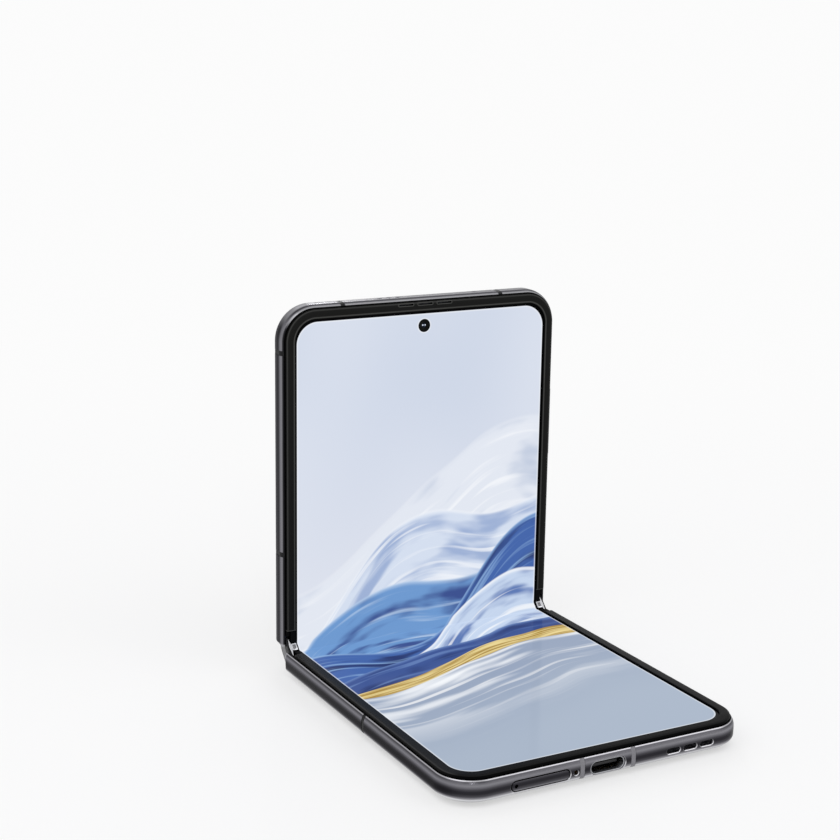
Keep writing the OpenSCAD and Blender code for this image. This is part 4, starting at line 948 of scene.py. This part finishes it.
for body, place in (("base", in_base), ("lid", in_lid)):
    for side in (-1, 1):
        a, b = sorted((side * (SIDE - 0.99), side * (SIDE - 1.93)))
        make(f"{body}_fold_filler_{side}", body, block(a, b, 2.95, BEZEL_U + 0.1, 5.93, 6.3), place, black_rubber,
             "black_rubber", bevel=0.08)

# The ports in the base's far end.
# A drawn steel shell holds the charging tongue with its gilt contacts. A fine steel mesh closes
# the speaker slots. The card tray's face is machined with the frame and anodised with it.
steel = blasted_metal("steel", "8a8b8f", "a9aaae", 0.28, drawn=False)
shell_steel = blasted_metal("shell_steel", "8a8b8f", "b4b5b9", 0.24)
inner_plastic = Finish("inner_plastic", IOR=1.5)
mottle = inner_plastic.noise(inner_plastic.place((3, 3, 3), False), detail=3.0)
inner_plastic = inner_plastic.set(
    Base_Color=inner_plastic.mix(mottle, tint("121214"), tint("1d1d20")),
    Roughness=0.42 + mottle * 0.12,
    Normal=inner_plastic.bump(mottle, 0.05, 0.00002),
)
gilt = blasted_metal("gold_contacts", "c39a48", "e2c278", 0.22, drawn=False)


def shell():
    """The shell: a deep-drawn pill-shaped tube with a rolled lip and a closed back."""
    def loop(inset, u):
        return on_end(pill(0, PORT_W, 8.94, 3.16, inset, 16), u)
    return stacked([loop(0, 77.65), loop(0, 84.78), loop(0.06, 84.87), loop(0.15, 84.9), loop(0.24, 84.87),
                    loop(0.3, 84.78), loop(0.3, 78.25)])


make("usb_shell", "base", shell(), in_base, shell_steel, "steel", "usb_receptacle", sharp=50)
make("usb_tongue_bar", "base", block(-3.34, 3.34, 78.26, 83.5, PORT_W - 0.34, PORT_W + 0.34), in_base,
     inner_plastic, "inner_plastic", "usb_tongue", bevel=0.12)
pads = [block(x - 0.14, x + 0.14, 79.4, 83.1, PORT_W + s * 0.335 - 0.02, PORT_W + s * 0.335 + 0.02)
        for s in (-1, 1) for x in np.arange(12) * 0.5 - 2.75]
make("usb_pads", "base", joined(*pads), in_base, gilt, "gold_contacts")


def end_inset(w):
    """How far the frame's end face lies inside the outline at a height."""
    if w < CURVE_H:
        return CURVE_W * (1 - math.sin(math.acos(1 - w / CURVE_H)))
    if w > THICK - FRONT_R:
        return FRONT_R - math.sqrt(FRONT_R ** 2 - (w - THICK + FRONT_R) ** 2)
    return 0.0


def tray_face():
    """The face of the card tray, shaped as the frame's end is."""
    def loop(inset, back=None, sunk=0.0):
        ring = pill(TRAY_X, PORT_W, TRAY_LEN - 0.22, TRAY_H - 0.22, inset, 16)
        return [(x, back if back else LENGTH - end_inset(w) - sunk, w) for x, w in ring]
    return stacked([loop(0.0, 83.05), loop(0.0, sunk=0.14), loop(0.05, sunk=0.05), loop(0.13, sunk=0.015)])


eject = stacked([on_end(pill(TRAY_X - 6.1, PORT_W, 0.8, 0.8), 83.6), on_end(pill(TRAY_X - 6.1, PORT_W, 0.8, 0.8), 85.1),
                 on_end(pill(TRAY_X - 6.1, PORT_W, 0.8, 0.8, -0.15), 85.35)])
key_metal = blasted_metal("key_metal", "3d3c41", "4f4e54", 0.26)
card_room = block(-21.25, -11.45, 72.05, 81.65, 3.02, 4.2)
# the tray's face takes the frame's painted reflection, highlight and shade bands
make("card_tray_face", "sim_tray", tray_face(), in_base, frame_metal, "frame_metal", "sim_tray", cuts=[eject], sharp=40)
make("card_tray_blade", "sim_tray", block(-22.4, -10.3, 70.82, 83.2, 2.91, 3.69), in_base, key_metal,
     "frame_metal", cuts=[card_room], bevel=0.12)

mesh_steel = Finish("mesh_steel", Metallic=1.0)
at = mesh_steel.place(drawn=False)
cells = mesh_steel.node("TexVoronoi", {"feature": "F1"}, {"Vector": at, "Scale": 4.5, "Randomness": 0.0})
cells = mesh_steel.remap(cells, 0.38, 0.3)
mesh_steel = mesh_steel.set(
    Base_Color=mesh_steel.mix(cells, tint("55565a"), tint("060607")),
    Roughness=0.4 + cells * 0.4,
    Normal=mesh_steel.bump(1 - cells, 0.6, 0.00005),
)


def dress(finish, *nodes):
    """Gives CAD pieces their finish."""
    for node in nodes:
        piece = frame["nodes"][node]
        piece = piece if not isinstance(piece, str) else bpy.data.objects[piece]
        things = [piece, *piece.children_recursive]
        for thing in things:
            if thing.type == "MESH":
                for holder in thing.material_slots:
                    holder.link = "OBJECT"
                    holder.material = finish


dress(mesh_steel, "speaker_mesh", "earpiece_mesh")

# The hinge.
# The spine is an extruded metal cover that hides the hinge units. Polished caps close the ends of
# the fold beside the screen. Stamped and sintered steel units inside hold both halves at any angle.
SPINE_HALF, SPINE_END_R, SPINE_R, SPINE_TOP, SPINE_WALL = 36.9, 4.91, 5.45, 4.7, 0.8
TAPER = 2.5


def spine_loop(x, r, top):
    """The spine's section: a quarter turn about each axis, joined by a flat."""
    start = math.asin((AXIS_W - top) / r) if top < AXIS_W else 0
    turns = [start + (math.pi / 2 - start) * i / 28 for i in range(29)]
    right = [(x, AXIS_U + r * math.cos(a), AXIS_W - r * math.sin(a)) for a in turns]
    left = [(x, -v, w) for _, v, w in right[::-1]]
    loop = right + left
    if top > AXIS_W:
        loop = [(x, AXIS_U + r, top)] + loop + [(x, -AXIS_U - r, top)]
    return loop


def spine_stack(grow, top):
    """The spine's body with its tapered ends."""
    ends = ((SPINE_HALF + grow, SPINE_END_R + grow), (SPINE_HALF - TAPER, SPINE_R + grow))
    stations = [(-x, r) for x, r in ends] + [(x, r) for x, r in ends[::-1]]
    return stacked([spine_loop(x, r, top) for x, r in stations])


spine_metal = blasted_metal("spine_metal", "434247", "525156", 0.24)
make("hinge_spine_cover", "spine", spine_stack(0, SPINE_TOP), in_spine, spine_metal, "hinge_bar_metal",
     "hinge_spine", cuts=[spine_stack(-SPINE_WALL, 8)], bevel=0.08, sharp=40)

cap_metal = blasted_metal("cap_metal", "b9babf", "e6e7ea", 0.2)
cap_black = band_finish("cap_black", "151517", "222225")
cap_face = Finish("cap_face", Metallic=0.9)
cx, cv, _ = cap_face.axes()
centre = cap_face.remap((cx.math("ABSOLUTE") - 35.62).math("ABSOLUTE"), 0.46, 0.4) * cap_face.remap(cv.math("ABSOLUTE"), 0.62, 0.54)
dots = cap_face.node("TexVoronoi", {"feature": "F1"}, {"Vector": cap_face.place(), "Scale": 4.0, "Randomness": 0.0})
dots = cap_face.remap(dots, 0.4, 0.3)
cap_face = cap_face.set(
    Base_Color=cap_face.mix(centre, tint("d4d5d9"), cap_face.mix(dots, tint("8b8b8f"), tint("3a3a3c"))),
    Roughness=0.22 + centre * 0.2,
    Normal=cap_face.bump(1 - dots * centre, 0.4, 0.00004),
)
CAP_R, CAP_BOTTOM, CAP_TOP = 1.85, 4.84, 6.82


def cap_loop(x, grow=0.0):
    """The cap's side view: a bar with a round end about each axis, cut level above and below."""
    r = CAP_R + grow
    low = math.asin(min(1, (AXIS_W - CAP_BOTTOM + grow) / r))
    high = math.asin(min(1, (CAP_TOP - AXIS_W + grow) / r))
    turns = [-low + (low + high) * i / 16 for i in range(17)]
    right = [(x, AXIS_U + r * math.cos(a), AXIS_W + r * math.sin(a)) for a in turns]
    return right + [(x, -v, w) for _, v, w in right[::-1]]


def crest_loop(x, inset, w):
    """A thin blade with pointed ends, seen from above."""
    stops = [-1 + i / 12 for i in range(25)]
    edge = [((0.3 - inset) * (1 - abs(t)) ** 0.75 + 0.01, t * (2.55 - 2 * inset)) for t in stops]
    return [(x + h, v, w) for h, v in edge] + [(x - h, v, w) for h, v in edge[::-1]]


for side in (-1, 1):
    outer, inner = side * 37.3, side * 36.35
    xs = [outer - side * t for t in (0, 0.06, 0.16, 0.79, 0.89, 0.95)]
    grows = [-0.16, -0.05, 0, 0, -0.05, -0.16]
    make(f"fold_cap_{side}", "spine", stacked([cap_loop(x, g) for x, g in zip(xs, grows)]), in_spine, cap_black,
         "cap_metal", *(["hinge_caps"] if side == 1 else []), sharp=40)
    make(f"fold_cap_crest_{side}", "spine", stacked([crest_loop(side * 36.58, i, w) for i, w in (
        (0, 6.7), (0, 6.9), (0.04, 6.935), (0.1, 6.95))]), in_spine, cap_metal, "cap_metal", sharp=40)
    a, b = sorted((side * 34.92, side * 36.33))
    make(f"fold_cap_stem_{side}", "spine", block(a, b, -0.9, 0.9, 6.71, 6.945), in_spine, cap_face,
         "cap_metal", bevel=0.05)


def ribbon(path, place=lambda u, w: (u, w)):
    """Loops of a flat cable led along a path of (u, w) points."""
    loops = []
    for i, (u, w) in enumerate(path):
        (u0, w0), (u1, w1) = path[max(i - 1, 0)], path[min(i + 1, len(path) - 1)]
        size = 0.075 / math.hypot(u1 - u0, w1 - w0)
        nu, nw = (w0 - w1) * size, (u1 - u0) * size
        loops.append([(-6, u + nu, w + nw), (6, u + nu, w + nw), (6, u - nu, w - nw), (-6, u - nu, w - nw)])
    return loops


# the flat cable: fixed under the middle plates and in the spine, with a short free bow at each side
anchored = [(10.8, 4.7), (9.6, 4.7), (8.2, 4.72), (7.3, 4.76), (6.95, 4.79), (6.7, 4.82)]
bow = [(6.7, 4.82), (6.3, 4.85), (5.9, 4.87), (5.5, 4.88), (5.15, 4.86), (4.85, 4.74), (4.6, 4.5), (4.35, 4.16),
       (4.1, 3.8), (3.85, 3.48), (3.6, 3.2)]
trough = [(3.6, 3.2), (3.3, 2.9), (2.8, 2.6), (2.0, 2.38), (1.0, 2.28), (0, 2.25)]
trough = trough + [(-v, w) for v, w in trough[-2::-1]]
for body, place in (("base", in_base), ("lid", in_lid)):
    make(f"{body}_cable_end", body, stacked(ribbon(anchored)), place, gilt, "gold_contacts",
         *(["hinge_flex_cable"] if body == "base" else []), sharp=60)
    loose(f"{body}_cable_bow", body, ribbon(bow), gilt, "gold_contacts", start=bow[0], end=half_turned(*bow[-1]))
make("spine_cable", "spine", stacked(ribbon(trough)), in_spine, gilt, "gold_contacts", sharp=60)

dress(steel, "hinge_brackets", "hinge_arms_base", "hinge_arms_lid", "hinge_shafts", "hinge_springs",
      "base_support_plate", "lid_support_plate", "vibration_motor", "sim_socket", "base_screws", "lid_screws",
      "earpiece", "shield_cans", "side_switches")
dress(gilt, "bottom_mic", "top_mic")
dress(inner_plastic, "base_back_plate", "lid_back_plate", "speaker_box", "glass_spacer")

# The cover window of the lid.
# A plate of dark glass with one round end lies in the leather's lip. The round screen behind it is
# bonded to it, and shows a plain clock beside a generic pattern of curved ribbons.
window_args = (GLASS_X0, GLASS_X1, GLASS_U0, GLASS_U1, glass_radii)
CAM_X, CAM_U, SELFIE_U = 22.6, (69.6, 52.2), 78.2
FLASH_X, FLASH_U, FLASH_W, FLASH_LEN = 11.2, 60.9, 3.2, 7.6
DISC_X, DISC_U, DISC_R = -12.97, 60.9, 17.99


def dark_glass(name):
    """Black-backed glass: glossy, with a faint cloud of fingerprints in its shine."""
    made = Finish(name, IOR=1.12)
    made.smear = made.remap(made.noise(made.place((0.1, 0.1, 0.1)), detail=5.0), 0.5, 0.75)
    return made


cover_glass = dark_glass("cover_glass")
cover_glass = cover_glass.set(
    Base_Color=cover_glass.mix(cover_glass.smear, tint("030304"), tint("070708")),
    Roughness=0.05 + cover_glass.smear * 0.03,
)


def round_plate(loops):
    """A plate from (outline function, inset, height) rows."""
    return stacked([level(ring(inset), w) for ring, inset, w in loops])


def window_ring(inset):
    return outline(*window_args, inset, 32)


def bore(x, u, r, low=-4.0, high=4.0, steps=20):
    return stacked([level(pill(x, u, 2 * r, 2 * r, 0, steps), low), level(pill(x, u, 2 * r, 2 * r, 0, steps), high)])


flash_bore = stacked([level(pill(FLASH_X, FLASH_U, FLASH_W + 0.1, FLASH_LEN + 0.1), w) for w in (-4, 4)])
make("cover_glass_plate", "lid", round_plate([(window_ring, i, w) for i, w in (
    (0, GLASS_W1), (0, GLASS_W0 + 0.2), (0.02, GLASS_W0 + 0.11), (0.08, GLASS_W0 + 0.035), (0.19, GLASS_W0))]),
     in_lid, cover_glass, "cover_glass", "cover_glass",
     cuts=[bore(CAM_X, u, 6.25) for u in CAM_U] + [flash_bore, bore(DISC_X, DISC_U, 18.0, steps=40)], sharp=40)

cover_screen = dark_glass("cover_screen")
sx, su, _ = cover_screen.axes()
# bands of silk that sweep down along the rim, about a place over the clock
da, db = sx - DISC_X, su - DISC_U
ra, rb = da + 6, 14 - db
turn = rb.math("ARCTAN2", ra)
drift = cover_screen.noise(cover_screen.node("CombineXYZ", None, {0: turn * 2.2, 1: da * 0.05, 2: 4.0}), 0.8, 0.5) - 0.5
depth = (ra * ra + rb * rb).math("SQRT") - 12.6 - (turn - 0.44).math("MAXIMUM", 0) * 14.3 + drift * 5
lane = depth * 0.075 + (turn * 5 + 1).math("SINE") * 0.1 + drift * 0.5
hue = cover_screen.shades(lane, (0.0, "7c68d0"), (0.14, "4f8fe6"), (0.26, "2aa2bc"), (0.34, "ecd0dc"), (0.46, "f29a72"),
                          (0.6, "d4564c"), (0.72, "b46fae"), (0.86, "2c6fd0"), (1.0, "1c3f8f"))
strands = cover_screen.noise(cover_screen.node("CombineXYZ", None, {0: turn * 1.5, 1: depth * 0.9, 2: 8.0}), 1.0, 1.5)
edge = cover_screen.remap((strands - 0.5).math("ABSOLUTE"), 0.035, 0.0)
hue = cover_screen.mix(edge * 0.55, hue, tint("f4f0ff"))
disc = (da * da + db * db).math("SQRT")
lit = cover_screen.remap(depth, 0, 1.2) * cover_screen.remap(disc, 17.3, 17.0) * cover_screen.remap(sx, -13.5, -6.5)
silk = cover_screen.node("VectorMath", {"operation": "SCALE"},
                         {0: hue, "Scale": cover_screen.remap(strands, 0.3, 0.62, 0.2, 1.0) * lit})
cover_screen = cover_screen.set(
    Base_Color=cover_screen.mix(cover_screen.smear, tint("030304"), tint("070708")),
    Roughness=0.05 + cover_screen.smear * 0.03,
    Emission_Color=silk,
    Emission_Strength=0.9,
)
make("cover_screen_disc", "lid", stacked([level(pill(DISC_X, DISC_U, 2 * DISC_R, 2 * DISC_R, 0, 40), w)
                                          for w in (GLASS_W1, GLASS_W0)]),
     in_lid, cover_screen, "cover_screen", "cover_display", sharp=40)

light_digits = Finish("light_digits", Roughness=0.2, Emission_Strength=0.95)
glimmer = light_digits.noise(light_digits.place((0.3, 0.3, 0.3)), detail=2.0)
light_digits = light_digits.set(
    Base_Color=light_digits.mix(glimmer, tint("8c8c90"), tint("949498")),
    Emission_Color=light_digits.mix(glimmer, tint("f4f5f8"), tint("ffffff")),
)
charge_green = Finish("charge_green", Roughness=0.2, Emission_Strength=0.9)
glimmer = charge_green.noise(charge_green.place((0.3, 0.3, 0.3)), detail=2.0)
charge_green = charge_green.set(
    Base_Color=charge_green.mix(glimmer, tint("20602c"), tint("246832")),
    Emission_Color=charge_green.mix(glimmer, tint("3fc060"), tint("4dd070")),
)


def digits(name, text, x, u, height, thick=0.0):
    """Plain numbers on the cover screen, as seen from behind, with their middle at x and u."""
    words = bpy.data.objects.new(name + "_text", bpy.data.curves.new(name, "FONT"))
    words.data.body, words.data.size = text, height / 0.7
    words.data.align_x, words.data.align_y = "CENTER", "CENTER"
    words.data.offset, words.data.extrude = thick, 0.01
    bpy.context.scene.collection.objects.link(words)
    bpy.context.view_layer.update()
    mesh = bpy.data.meshes.new_from_object(words.evaluated_get(bpy.context.evaluated_depsgraph_get()))
    points = np.array([v.co[:] for v in mesh.vertices])
    points[:, 0] -= (points[:, 0].min() + points[:, 0].max()) / 2
    points[:, 1] -= (points[:, 1].min() + points[:, 1].max()) / 2
    shape = [(x - px, u + pu, GLASS_W0 - 0.02 + pw) for px, pu, pw in points], [tuple(f.vertices) for f in mesh.polygons]
    bpy.data.objects.remove(words)
    return make(name, "lid", shape, in_lid, light_digits, "cover_screen", sharp=30)


digits("clock_upper", "10", -17.0, 69.3, 8.4, 0.17)
digits("clock_lower", "09", -17.0, 58.9, 8.4, 0.17)
digits("date_row", "25  11", -17.8, 52.2, 1.7, 0.04)
digits("charge_row", "86", -19.6, 48.6, 1.7, 0.04)
make("charge_bar", "lid", block(-16.4, -13.7, 48.0, 49.3, GLASS_W0 - 0.03, GLASS_W0 - 0.01), in_lid,
     charge_green, "cover_screen")

# The rear cameras and the flash.
# Turned metal rings stand out of the glass round black stepped cones and coated lenses.
# The flash is a small pill of frosted plastic over two warm diodes.
def about_camera(made):
    """Distances across and along from the middle of the nearer camera, and straight."""
    x, u, _ = made.axes()
    along = u - (CAM_U[0] + CAM_U[1]) / 2
    dx, du = x - CAM_X, along - along.math("SIGN") * ((CAM_U[0] - CAM_U[1]) / 2)
    return dx, du, (dx * dx + du * du).math("SQRT")


ring_metal = Finish("ring_metal", Metallic=1.0, IOR=1.5)
dx, du, radius = about_camera(ring_metal)
spun = ring_metal.noise(ring_metal.node("CombineXYZ", None, {0: radius * 14, 1: 0.3}), 1.0, 2.0)
# painted shade: each ring is darker on one side
painted_shade_side = ring_metal.remap((dx + du) / radius, -1.0, 1.2, 0.75, 0.0)
ring_metal = ring_metal.set(
    Base_Color=ring_metal.mix(painted_shade_side, ring_metal.mix(spun * 0.2, ring_metal.shades(
        radius, (6.5, "161618"), (6.8, "2a2a2d"), (7.0, "4a4a4e"), (7.1, "f0f0f4"), (7.36, "e4e4e8"), (7.42, "6a6a6e")),
        tint("3a3a3e")), tint("2c2c2f")),
    Roughness=0.16 + spun * 0.1,
)


def lathe(x, u, profile, steps=96):
    """A turned body about an axis along the thickness, from a closed (radius, height) profile."""
    n = len(profile)
    points = [(x + r * math.cos(a), u + r * math.sin(a), w)
              for a in (2 * math.pi * i / steps for i in range(steps)) for r, w in profile]
    faces = [(i * n + j, i * n + (j + 1) % n, (i + 1) % steps * n + (j + 1) % n, (i + 1) % steps * n + j)
             for i in range(steps) for j in range(n)]
    return points, faces


ring_top = GLASS_W0 - 0.85
ring_profile = [(6.5, ring_top + 0.06), (6.56, ring_top), (7.12, ring_top), (7.22, ring_top + 0.02),
                (7.34, ring_top + 0.12), (7.4, ring_top + 0.26), (7.4, GLASS_W0 - 0.01), (6.2, GLASS_W0 - 0.01),
                (6.2, 0.48), (5.82, 0.48), (5.82, GLASS_W0 - 0.2), (6.5, GLASS_W0 - 0.2)]
lens_black = Finish("lens_black", IOR=1.2, Specular_IOR_Level=0.3)
fleck = lens_black.noise(lens_black.place((2, 2, 2)), detail=3.0)
dx, du, radius = about_camera(lens_black)
# painted sheen: lighter wedges on the cones' steps
painted_sheen = lens_black.remap(((dx * 0.5 + du * 0.86) / radius).math("ABSOLUTE"), 0.72, 1.0)
painted_sheen = painted_sheen * lens_black.remap(radius, 5.8, 5.6) * lens_black.remap(radius, 2.4, 3.4)
lens_black = lens_black.set(
    Base_Color=lens_black.mix(painted_sheen * 0.8, lens_black.mix(fleck, tint("050506"), tint("0b0b0d")), tint("343438")),
    Roughness=0.22 + fleck * 0.08,
    Normal=lens_black.bump(fleck, 0.03, 0.00001),
)
cone_profile = [(2.35, 0.5), (2.35, -0.2), (2.6, -0.22), (3.0, -0.24), (3.02, -0.45), (3.4, -0.47), (3.42, -0.62),
                (4.1, -0.7), (4.12, -0.86), (4.9, -0.92), (4.92, -1.05), (5.7, -1.1), (6.44, -1.1),
                (6.44, -0.7), (5.78, -0.7), (5.78, 0.5)]
lens_glass = Finish("lens_glass", IOR=1.38, Roughness=0.02, Specular_Tint=(0.3, 0.5, 1.0))
coating = lens_glass.noise(lens_glass.place((0.5, 0.5, 0.5)), detail=1.0)
deep = lens_glass.mix(coating, tint("020206"), tint("060a1c"))
dx, du, radius = about_camera(lens_glass)
# painted reflection: a blue glow in the middle of each rear lens
deep = lens_glass.mix(lens_glass.remap(radius, 1.15, 0.2) * 0.85, deep, tint("2348a8"))
# two painted glints on each rear lens
gx, gu = dx.math("ABSOLUTE") - 0.34, du - 0.2
deep = lens_glass.mix(lens_glass.remap((gx * gx + gu * gu).math("SQRT"), 0.26, 0.12), deep, tint("dfe9ff"))
# two painted glints on the selfie lens
gx, gu, _ = lens_glass.axes()
gx, gu = gx.math("ABSOLUTE") - 0.33, gu - SELFIE_U - 0.1
deep = lens_glass.mix(lens_glass.remap((gx * gx + gu * gu).math("SQRT"), 0.24, 0.14), deep, tint("e8f0ff"))
lens_glass = lens_glass.set(
    Base_Color=deep,
    Roughness=0.02 + coating * 0.02,
)
for i, u in enumerate(CAM_U):
    make(f"camera_ring_{i + 1}", "lid", lathe(CAM_X, u, ring_profile), in_lid, ring_metal, "ring_metal",
         *(["camera_rings"] if i == 0 else []), sharp=40)
    make(f"camera_cone_{i + 1}", "lid", lathe(CAM_X, u, cone_profile), in_lid, lens_black, "lens_black",
         *(["camera_cones"] if i == 0 else []), sharp=40)
    dome = [(2.5 * math.sin(a), 2.1 - 2.5 * math.cos(a)) for a in np.linspace(0.004, 0.68, 14)]
    dome = [(0.01, 0.6)] + dome + [(1.62, 0.1), (1.9, 0.02), (2.28, 0.0), (2.28, 0.6)]
    make(f"camera_lens_{i + 1}", "lid", lathe(CAM_X, u, dome, 64), in_lid, lens_glass, "lens_glass",
         *(["camera_lenses"] if i == 0 else []), sharp=40)
dress(lens_black, "rear_cameras")

flash_lens = Finish("flash_lens", IOR=1.5, Coat_Weight=0.4, Coat_Roughness=0.05)
fx, fu, _ = flash_lens.axes()
spots = flash_lens.remap(((fx - FLASH_X) * (fx - FLASH_X) * 0.9 + (fu - FLASH_U) * (fu - FLASH_U) * 0.16).math("SQRT"), 1.3, 0.3)
frost = flash_lens.noise(flash_lens.place((4, 4, 4)), detail=2.0)
flash_lens = flash_lens.set(
    Base_Color=flash_lens.mix(spots, tint("d9d8cf"), tint("efe3a0")),
    Roughness=0.28 + frost * 0.15,
    Normal=flash_lens.bump(frost, 0.1, 0.00003),
)
make("flash_pill", "lid", stacked([level(pill(FLASH_X, FLASH_U, FLASH_W, FLASH_LEN, i, 16), w) for i, w in (
    (0, 0.48), (0, GLASS_W0 + 0.1), (0.04, GLASS_W0 + 0.04), (0.12, GLASS_W0), (0.5, GLASS_W0 - 0.02))]),
     in_lid, flash_lens, "flash_lens", "flash_window", sharp=40)

# The selfie camera.
# A small camera stands in a hole of the screen: a black barrel with one coated lens.
make("selfie_barrel", "lid", lathe(0, SELFIE_U, [(0.01, 5.7), (0.01, 6.3), (0.55, 6.3), (0.62, 6.36), (0.9, 6.38), (0.95, 6.42),
                                                 (1.44, 6.42), (1.48, 6.38), (1.48, 5.7)], 64), in_lid, lens_black,
     "lens_black", "selfie_camera", sharp=40)
make("selfie_body", "lid", block(-2.98, 2.98, SELFIE_U - 2.98, SELFIE_U + 2.98, 3.2, 5.63), in_lid, lens_black,
     "lens_black", bevel=0.15)
make("selfie_lens", "lid", lathe(0, SELFIE_U, [(0.01, 6.2)] + [
    (0.54 * math.sin(a), 6.3 + 0.12 * math.cos(a)) for a in np.linspace(math.pi / 2, 0.02, 10)], 48), in_lid,
     lens_glass, "lens_glass", sharp=40)

# The side keys.
# The volume rocker and the power button are turned keys of anodised metal in openings of the lid's
# right side. The power key carries a smooth black fingerprint pad. Flanges hold them from inside.
power_key = Finish("power_key", IOR=1.5, Coat_Weight=0.3, Coat_Roughness=0.1)
haze = power_key.noise(power_key.place((0.4, 0.4, 0.4)), detail=3.0)
power_key = power_key.set(
    Base_Color=power_key.mix(haze, tint("1b1b1e"), tint("262629")),
    Roughness=0.24 + haze * 0.08,
)


def key_shape(u, length, out):
    """A key's head with rounded edges, and the flange behind it."""
    def loop(inset, x, extra=0.0, tall=0.0):
        return on_side(pill(u, KEY_W, length + extra, KEY_H + tall, inset, 16), x)
    head = SIDE + out
    return stacked([
        loop(0, 35.22, 1.0, 0.5), loop(0, 35.68, 1.0, 0.5), loop(0, 35.7), loop(0, head - 0.35), loop(0.05, head - 0.18),
        loop(0.16, head - 0.06), loop(0.36, head - 0.005), loop(0.7, head),
    ])


make("volume_key", "volume_rocker", key_shape(ROCKER_U, ROCKER_LEN, 0.7), in_lid, key_metal, "frame_metal",
     "volume_rocker", sharp=50)
make("power_key_pad", "power_button", key_shape(POWER_U, POWER_LEN, 0.3), in_lid, power_key, "power_key",
     "power_button", sharp=50)

# The boards, batteries and card inside.
# Glass-fibre boards in dark green lacquer, foil-wrapped cells and a plastic card. They are sealed
# in the halves and only show when the phone is taken apart.
circuit_board = Finish("circuit_board", IOR=1.5)
at = circuit_board.place(drawn=False)
tracks = circuit_board.node("TexBrick", None, {"Vector": at, "Scale": 0.6, "Mortar Size": 0.03,
                                               "Color1": (0, 0, 0, 1), "Color2": (0.2, 0.2, 0.2, 1), "Mortar": (1, 1, 1, 1)})
circuit_board = circuit_board.set(
    Base_Color=circuit_board.mix(tracks, tint("0f3a26"), tint("2c6a48")),
    Roughness=0.35 + tracks * 0.1,
)
battery_wrap = Finish("battery_wrap", IOR=1.5)
crinkle = battery_wrap.noise(battery_wrap.place((0.8, 0.8, 0.8), False), detail=4.0)
battery_wrap = battery_wrap.set(
    Base_Color=battery_wrap.mix(crinkle, tint("1b1d22"), tint("2a2d33")),
    Roughness=0.38 + crinkle * 0.12,
    Normal=battery_wrap.bump(crinkle, 0.2, 0.00005),
)
card_plastic = Finish("card_plastic", IOR=1.5, Roughness=0.4)
speck = card_plastic.noise(card_plastic.place((1, 1, 1), False), detail=3.0)
card_plastic = card_plastic.set(
    Base_Color=card_plastic.mix(speck, tint("d9d9d6"), tint("e9e9e6")),
)
dress(circuit_board, "main_board", "sub_board")
dress(battery_wrap, "base_battery", "lid_battery")
dress(card_plastic, "sim_card")

# The floor and the light.
# A wide pale sheet with a soft shadow, under large soft lamps and a pale surround.
floor = plain_object("floor", [(-6, -6, 0), (6, -6, 0), (6, 6, 0), (-6, 6, 0)], [(0, 1, 2, 3)])
floor_paper = Finish("floor_paper", Roughness=0.9, IOR=1.3)
floor_paper.set(Base_Color=floor_paper.mix(
    floor_paper.noise(floor_paper.place((0.002, 0.002, 0.002), False), detail=2.0), tint("f0f0f1"), tint("f4f4f5")))
fx, fy, _ = floor_paper.axes(floor_paper.place(drawn=False))
away = (fx * fx + fy * fy).math("SQRT")
seen = floor_paper.node("LightPath", out="Is Camera Ray") * floor_paper.remap(away, 60, 500, 0.55, 1.0)
mirrored = floor_paper.node("LightPath", out="Is Glossy Ray") * 0.9
floor_paper.feed(floor_paper.tree.nodes["Material Output"].inputs["Surface"], floor_paper.node("MixShader", None, {
    0: seen.math("MAXIMUM", mirrored),
    1: Shade(floor_paper, floor_paper.surface.outputs[0]),
    2: floor_paper.node("Emission", None, {"Color": (0.97, 0.97, 0.97)})}))
floor.data.materials.append(floor_paper.material)
world = bpy.data.worlds.new("studio")
bpy.context.scene.world = world
world.use_nodes = True
sky = Nodes(world.node_tree)
surround = sky.tree.nodes["Background"]
sky.feed(surround.inputs["Color"], (1, 1, 1))
sky.feed(surround.inputs["Strength"], 0.8 + 0.17 * sky.node("LightPath", out="Is Camera Ray"))
for name, where, size, power in (("key", (-0.7, -0.2, 0.9), 0.9, 2.4), ("fill", (0.7, -0.7, 0.7), 0.6, 1.2),
                                 ("rim", (0.4, 0.8, 0.8), 0.9, 1.6), ("front_spark", (-0.3, -0.75, 0.5), 0.05, 0.35),
                                 ("back_spark", (0.35, 0.85, 0.45), 0.05, 0.35)):
    lamp = bpy.data.objects.new(name, bpy.data.lights.new(name, "AREA"))
    lamp.data.size, lamp.data.energy = size, power
    lamp.location = where
    lamp.rotation_euler = (Vector((0, 0, 0.03)) - Vector(where)).to_track_quat("-Z", "Y").to_euler()
    bpy.context.scene.collection.objects.link(lamp)
bpy.context.scene.view_settings.view_transform = "Standard"
